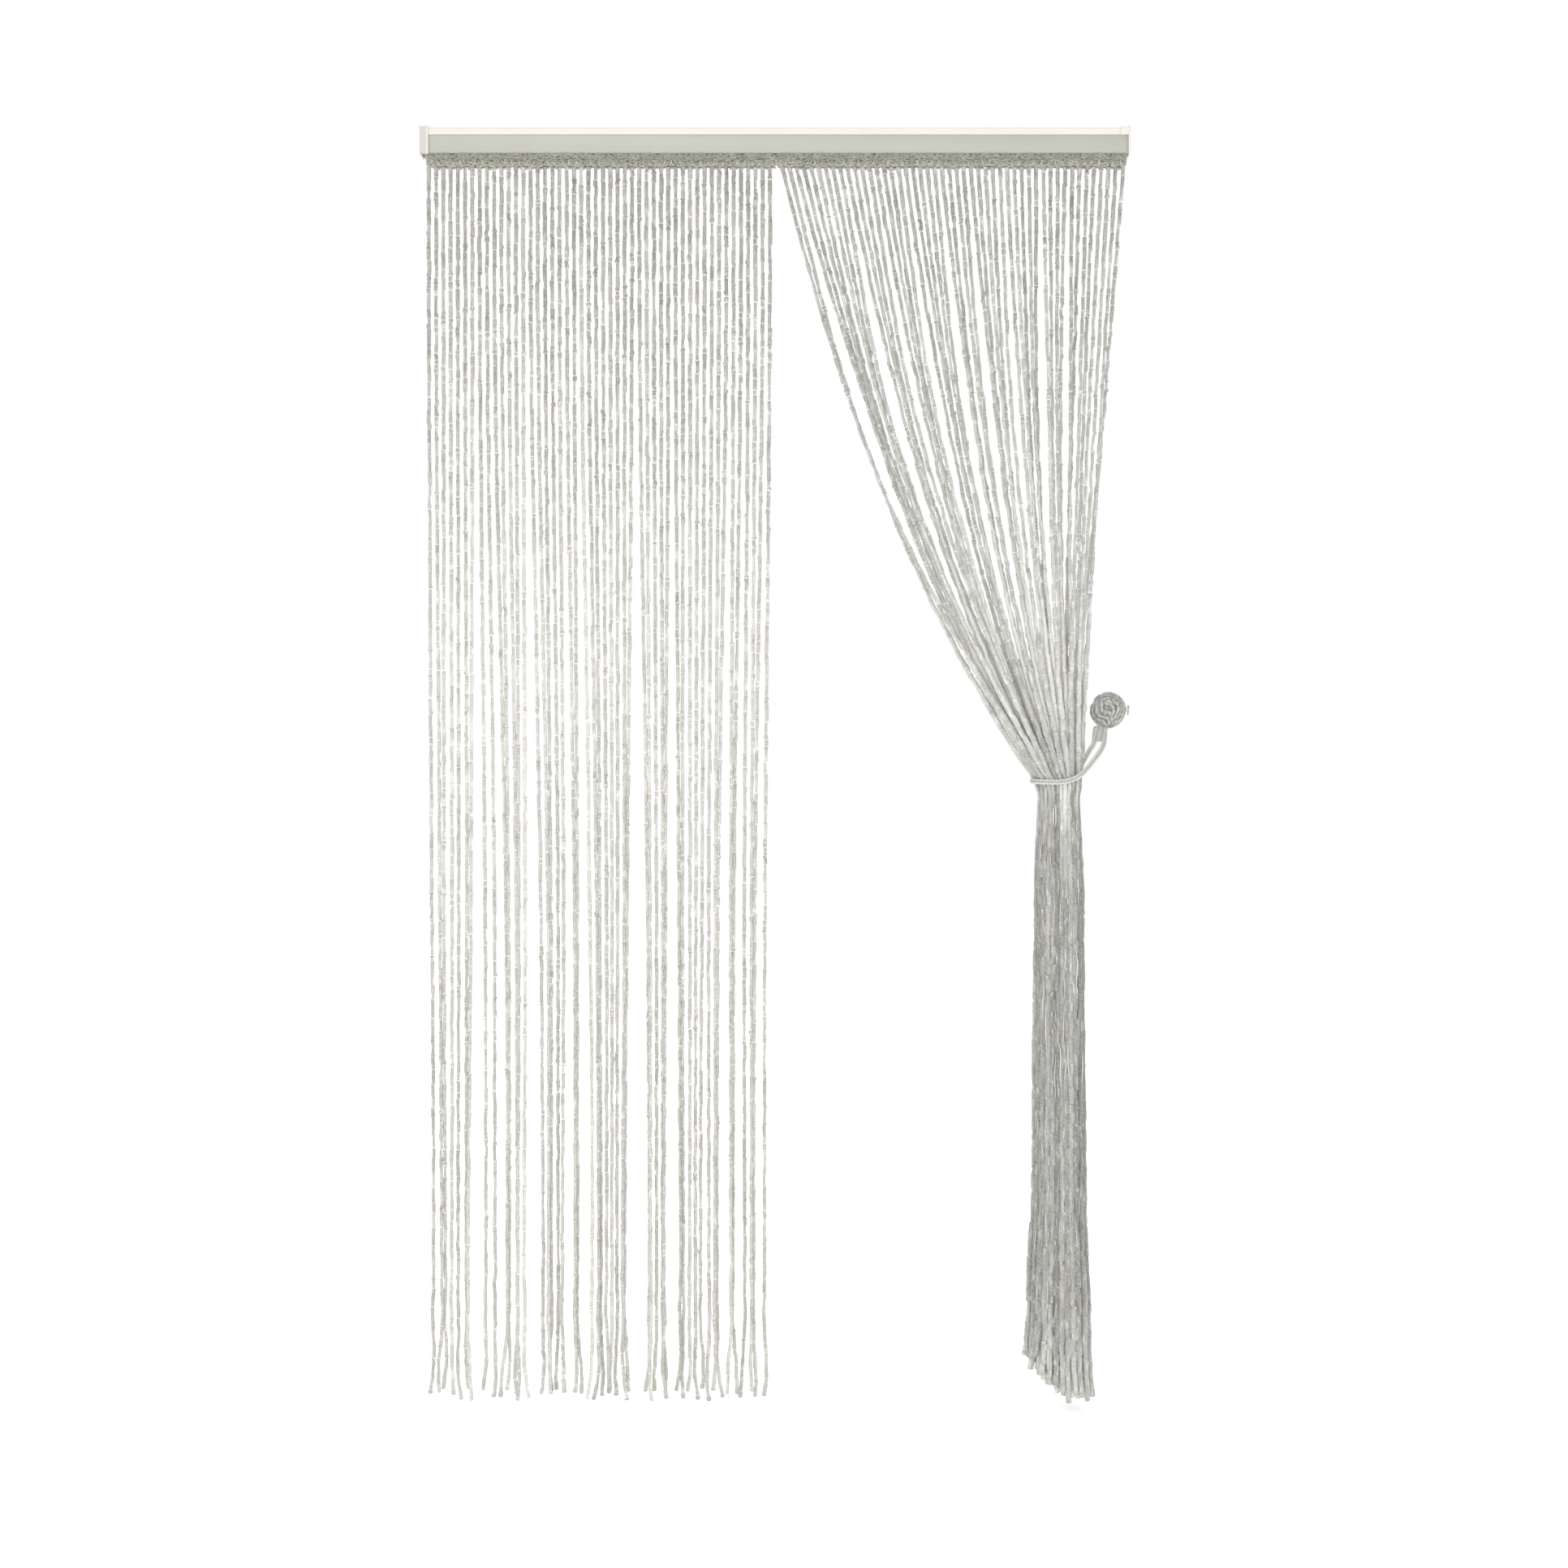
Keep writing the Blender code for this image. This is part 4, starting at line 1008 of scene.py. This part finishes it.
# wound ball and its sleeve
ballPlan = {
    "centre": (0.5502, 0.0, -0.9602),
    "half": (0.0275, 0.0270, 0.0290),  # to the winding's middle line
    "outer": 0.0300,
    "yarn": 0.0027,
    "lobe": (0.0115, 0.16),  # the yarn swells about this often along its length, by this share
    "rings": 36,
    "sides": 8,
    "core": 0.965,  # share of the winding's middle line
    "coreShadeTone": 0.10,
    "dip": 0.13,  # the ends of a turn dive under its neighbours by this share
    "pressed": (-0.66, 0.0, 0.75),  # the side on which the ball is pressed flatter, and by how much
    "pressedBy": 0.085,
    # the turns that show from the front: lift, added tone, then places across and up from the ball's middle
    "turns": [
        (0.00, 0.08, [(-0.62, 0.55), (-0.30, 0.80), (-0.07, 0.87), (0.15, 0.86), (0.36, 0.76), (0.56, 0.58)]),
        (-0.01, -0.06, [(-0.56, 0.50), (-0.40, 0.68), (-0.19, 0.74), (0.05, 0.72), (0.27, 0.61), (0.42, 0.46)]),
        (0.00, 0.02, [(-0.66, 0.60), (-0.83, 0.30), (-0.88, 0.04), (-0.86, -0.20), (-0.77, -0.40)]),
        (0.01, 0.05, [(-0.52, 0.66), (-0.67, 0.49), (-0.71, 0.26), (-0.69, 0.04), (-0.71, -0.12),
                      (-0.62, -0.26)]),
        (0.03, 0.06, [(-0.22, 0.56), (-0.42, 0.50), (-0.45, 0.27), (-0.46, 0.04), (-0.44, -0.12)]),
        (0.01, -0.02, [(-0.30, 0.60), (-0.12, 0.58), (0.10, 0.54), (0.22, 0.36)]),
        (0.06, 0.12, [(-0.26, 0.32), (-0.10, 0.42), (0.06, 0.30)]),
        (0.05, 0.06, [(-0.24, 0.26), (-0.10, 0.28), (0.08, 0.14), (0.14, 0.00)]),
        (0.05, 0.10, [(0.18, 0.36), (0.34, 0.28), (0.39, 0.08), (0.34, -0.14), (0.22, -0.40), (0.10, -0.56)]),
        (0.03, 0.04, [(0.13, 0.08), (0.15, -0.06), (0.11, -0.20), (0.05, -0.42), (0.08, -0.60)]),
        (0.04, 0.02, [(-0.34, -0.08), (-0.17, -0.13), (-0.02, -0.18), (-0.08, -0.34)]),
        (0.02, -0.03, [(0.36, 0.42), (0.52, 0.26), (0.57, 0.00), (0.47, -0.27), (0.31, -0.56), (0.09, -0.76)]),
        (0.00, 0.10, [(0.54, 0.56), (0.70, 0.42), (0.76, 0.11), (0.70, -0.21), (0.54, -0.53), (0.28, -0.78)]),
        (0.03, 0.05, [(-0.66, -0.12), (-0.56, -0.30), (-0.32, -0.36), (-0.12, -0.46), (-0.04, -0.72)]),
        (0.02, 0.00, [(-0.80, -0.36), (-0.62, -0.47), (-0.37, -0.56), (-0.23, -0.72), (-0.10, -0.86)]),
        (0.04, 0.02, [(-0.78, -0.50), (-0.70, -0.66), (-0.52, -0.74), (-0.34, -0.86)]),
        (0.00, 0.00, [(-0.56, -0.72), (-0.30, -0.90), (0.00, -0.90), (0.26, -0.84), (0.52, -0.68)]),
        (-0.01, 0.06, [(0.30, 0.84), (0.66, 0.64), (0.88, 0.24), (0.88, -0.16), (0.72, -0.52)]),
        (-0.02, -0.08, [(-0.30, 0.16), (-0.22, 0.04), (-0.28, -0.20), (-0.20, -0.30)]),
    ],
    # whole turns underneath: the direction that each goes round
    "girdles": [
        (0.2, 1.0, 0.1), (-0.3, 1.0, 0.4), (0.7, 0.7, 0.2),
        (-0.7, 0.7, 0.1), (0.1, 0.5, 0.9), (0.9, -0.2, 0.4),
        (-0.5, -0.3, 0.8), (0.3, 0.9, -0.6),
    ],
}


def makeBall(plan):
    # each turn is a smooth curve on an oval ball: its places give a direction, and the radius falls by the
    # dip at both ends; the back is wound like the front, upside down; the yarn's half width is
    # yarn * (1 + share * sin(lobes)), uneven along its length
    half = np.array(plan["half"])
    share = np.linspace(0.0, 1.0, plan["rings"])
    ways = []
    lifts = []
    shades = []
    for lift, shade, places in plan["turns"]:
        flat = np.array(places) * plan["outer"] / half[0]
        flat = flat / np.maximum(1.0, np.linalg.norm(flat, axis=1, keepdims=True) / 0.985)
        out = np.sqrt(1.0 - np.sum(flat ** 2, axis=1))
        route = smoothRoute(np.column_stack((flat[:, 0], -out, flat[:, 1])), 0.02)[None]
        run = lengthsAlong(route)
        way = unit(pointsAt(route, run, share[None] * run[:, -1:])[0])
        ways += [way, way * np.array((1.0, -1.0, -1.0))]
        lifts += [lift - plan["dip"] * np.abs(2.0 * share - 1.0) ** 5] * 2
        shades += [shade] * 2
    turn = 2 * np.pi * share[:, None]
    for axis in plan["girdles"]:
        first = unit(np.cross(axis, (0.31, 0.17, 0.93)))
        ways.append(first * np.cos(turn) + unit(np.cross(axis, first)) * np.sin(turn))
        lifts.append(0.0 * share - 0.045)
        # painted shade: the turns underneath are coloured darker
        shades.append(-0.12)
    way = np.stack(ways)
    pressed = 1.0 - plan["pressedBy"] * np.maximum(0.0, way @ unit(np.array(plan["pressed"]))) ** 7
    lines = way * ((1.0 + np.stack(lifts)) * pressed)[..., None] * half
    along = lengthsAlong(lines)
    angle = np.arange(plan["sides"]) * 2 * np.pi / plan["sides"]
    first, second = ringFrames(lines, way)
    lobe = 2 * np.pi * along / plan["lobe"][0] + 2.3 * np.arange(len(lines))[:, None]
    swell = np.sin(lobe + 0.9 * np.sin(0.61 * lobe))[..., None]
    thick = plan["yarn"] * (1.0 + plan["lobe"][1] * swell)
    rings = (lines[:, :, None] + np.array(plan["centre"])
             + first[:, :, None] * (0.85 * thick * np.cos(angle))[..., None]
             + second[:, :, None] * (thick * np.sin(angle))[..., None])
    # painted shade and highlight: each turn is dark on its flanks and inner side, where it dips between its
    # neighbours, and light on its crest, lighter where it swells
    tone = 0.06 + (0.22 + 0.06 * swell) * np.clip(np.cos(angle) * 1.3, 0.0, 1.0) ** 1.2
    tone = tone + np.array(shades)[:, None, None]
    addTubes("ballWinding", rings, along, tone, tieYarn, "tie", "tie_ball")
    # plain round core under the winding, coloured dark: painted shade where it shows between the turns
    polar = np.linspace(0.03, np.pi - 0.03, 30)[:, None]
    turn = -np.arange(40) * 2 * np.pi / 40
    core = np.stack((np.sin(polar) * np.cos(turn), np.sin(polar) * np.sin(turn),
                     np.cos(polar) + 0.0 * turn), axis=-1)
    core = core * half * plan["core"] + np.array(plan["centre"])
    addTubes("ballCore", core[None], polar.T * half[0], plan["coreShadeTone"], tieYarn, "tie", "tie_ball")


makeBall(ballPlan)

sleevePlan = {
    "top": (0.5380, 0.0, -0.9866),
    "bottom": (0.5358, 0.0, -1.0120),
    "wide": 0.0126,
    "deep": 0.0088,
    "narrowTop": 0.96,
    "ribs": 8,
    "rib": 0.0012,
    "rings": 40,
    "sides": 96,
}


def makeSleeve(plan):
    # oval that widens downwards, its ribs rounded and slightly twisted, stitched across every few mm
    level = np.linspace(0.0, 1.0, plan["rings"])
    line = np.array(plan["top"]) + (np.array(plan["bottom"]) - np.array(plan["top"])) * level[:, None]
    grow = plan["narrowTop"] + (1.0 - plan["narrowTop"]) * smoothStep(level * 1.4)
    ends = np.minimum(level, 1.0 - level)
    grow = (grow * (0.80 + 0.20 * np.sqrt(np.clip(ends / 0.12, 0.0, 1.0))))[:, None]
    angle = -np.arange(plan["sides"]) * 2 * np.pi / plan["sides"]
    rib = np.abs(np.cos(plan["ribs"] * (angle + 0.35 * level[:, None]) / 2))
    stitch = 0.5 + 0.5 * np.cos(2 * np.pi * level[:, None] * 5 + plan["ribs"] * angle)
    cut = plan["rib"] * (0.75 * (1.0 - rib) + 0.35 * (1.0 - stitch))
    x = line[:, :1] + (plan["wide"] * grow - cut) * np.cos(angle)
    y = (plan["deep"] * grow - cut) * np.sin(angle)
    rings = np.stack((x, y, line[:, 2:] + 0.0 * x), axis=-1)[None]
    # painted shade: the grooves between the ribs and between the stitches are coloured darker than the crests;
    # the sleeve is also lighter towards its two sides
    tone = 0.09 + 0.26 * rib * (0.75 + 0.25 * stitch) + 0.30 * np.abs(np.cos(angle)) ** 3
    addTubes("sleeveStitches", rings, (level * 0.018)[None], tone[None], tieYarn, "tie", "tie_sleeve")


makeSleeve(sleevePlan)
print("ball and sleeve made")

softenedCopy("rail", 0.0005, railPaint, "rail")
softenedCopy("end_cap_left", 0.0004, capPlastic, "end_cap")
softenedCopy("end_cap_right", 0.0004, rimPlastic, "end_cap")
softenedCopy("tie_hook", 0.0002, hookMetal, "hook")

# a raised rim down the front of each cap, coloured lighter: painted highlight along it
rimPlan = {
    # cap, middle across, half width, bottom
    "rims": [
        ("end_cap_left", -0.5723, 0.0018, -0.0462),
        ("end_cap_right", 0.5831, 0.0019, -0.0458),
    ],
    "front": -0.0164,
    "halfDeep": 0.0009,
    "sides": 12,
}


def makeRims(plan):
    # an upright ellipse carried straight down: x = middle + wide cos a, y = front + deep sin a
    for cap, middle, halfWide, bottom in plan["rims"]:
        heights = np.linspace(bottom, -0.0002, 24)
        lines = np.stack((0.0 * heights + middle, 0.0 * heights + plan["front"], heights), axis=-1)[None]
        size = np.ones((1, len(heights)))
        rings = ringsAround(lines, sideways, halfWide * size, plan["halfDeep"] * size,
                            0.0 * size, plan["sides"])
        addTubes(cap + "Rim", rings, lengthsAlong(lines), 0.5, rimPlastic, "end_cap", cap)


makeRims(rimPlan)
print("rail, caps and hook finished")

stagePlan = {
    "floorHeight": -2.112,  # the strands end just above the floor
    "floorHalf": 12.0,
    "floorColour": (0.90, 0.90, 0.89),
    "floorGlow": 0.36,  # evens out the floor to the white of a studio sweep
    "sky": 0.80,
    "lights": [
        # name, place, size, watts
        ("frontLight", (-0.3, -5.0, -0.9), 1.8, 80.0),
        ("backLight", (0.9, 4.6, 0.2), 1.4, 45.0),
    ],
    "aim": (0.0, 0.0, -1.0),
}


def makeStage(plan):
    floor = bpy.data.meshes.new("paleFloor")
    half = plan["floorHalf"]
    corners = [(-half, -half), (half, -half), (half, half), (-half, half)]
    floor.from_pydata([(x, y, plan["floorHeight"]) for x, y in corners], [], [(0, 1, 2, 3)])
    material, tree, shader = startMaterial("paleFloor", 0.9, 0.1)
    shader.inputs["Base Color"].default_value = (*plan["floorColour"], 1.0)
    shader.inputs["Emission Color"].default_value = (1.0, 1.0, 1.0, 1.0)
    shader.inputs["Emission Strength"].default_value = plan["floorGlow"]
    floor.materials.append(material)
    ground = bpy.data.objects.new("paleFloor", floor)
    bpy.context.scene.collection.objects.link(ground)
    world = bpy.data.worlds.new("studioWorld")
    world.use_nodes = True
    tree = world.node_tree
    lit = tree.nodes["Background"]
    lit.inputs["Color"].default_value = (1.0, 1.0, 1.0, 1.0)
    lit.inputs["Strength"].default_value = plan["sky"]
    seen = tree.nodes.new("ShaderNodeBackground")
    seen.inputs["Color"].default_value = (1.0, 1.0, 1.0, 1.0)
    seen.inputs["Strength"].default_value = 1.0
    path = tree.nodes.new("ShaderNodeLightPath")
    pick = tree.nodes.new("ShaderNodeMixShader")
    tree.links.new(path.outputs["Is Camera Ray"], pick.inputs[0])
    tree.links.new(lit.outputs[0], pick.inputs[1])
    tree.links.new(seen.outputs[0], pick.inputs[2])
    tree.links.new(pick.outputs[0], tree.nodes["World Output"].inputs["Surface"])
    bpy.context.scene.world = world
    for name, place, size, watts in plan["lights"]:
        light = bpy.data.lights.new(name, "AREA")
        light.shape = "DISK"
        light.size = size
        light.energy = watts
        lamp = bpy.data.objects.new(name, light)
        lamp.location = place
        toward = np.array(plan["aim"]) - np.array(place)
        flat = math.hypot(toward[0], toward[1])
        lamp.rotation_euler = (math.pi / 2 + math.atan2(toward[2], flat), 0.0,
                               math.atan2(toward[1], toward[0]) - math.pi / 2)
        bpy.context.scene.collection.objects.link(lamp)
    bpy.context.scene.view_settings.view_transform = "Standard"


makeStage(stagePlan)
print("stage and lights made")
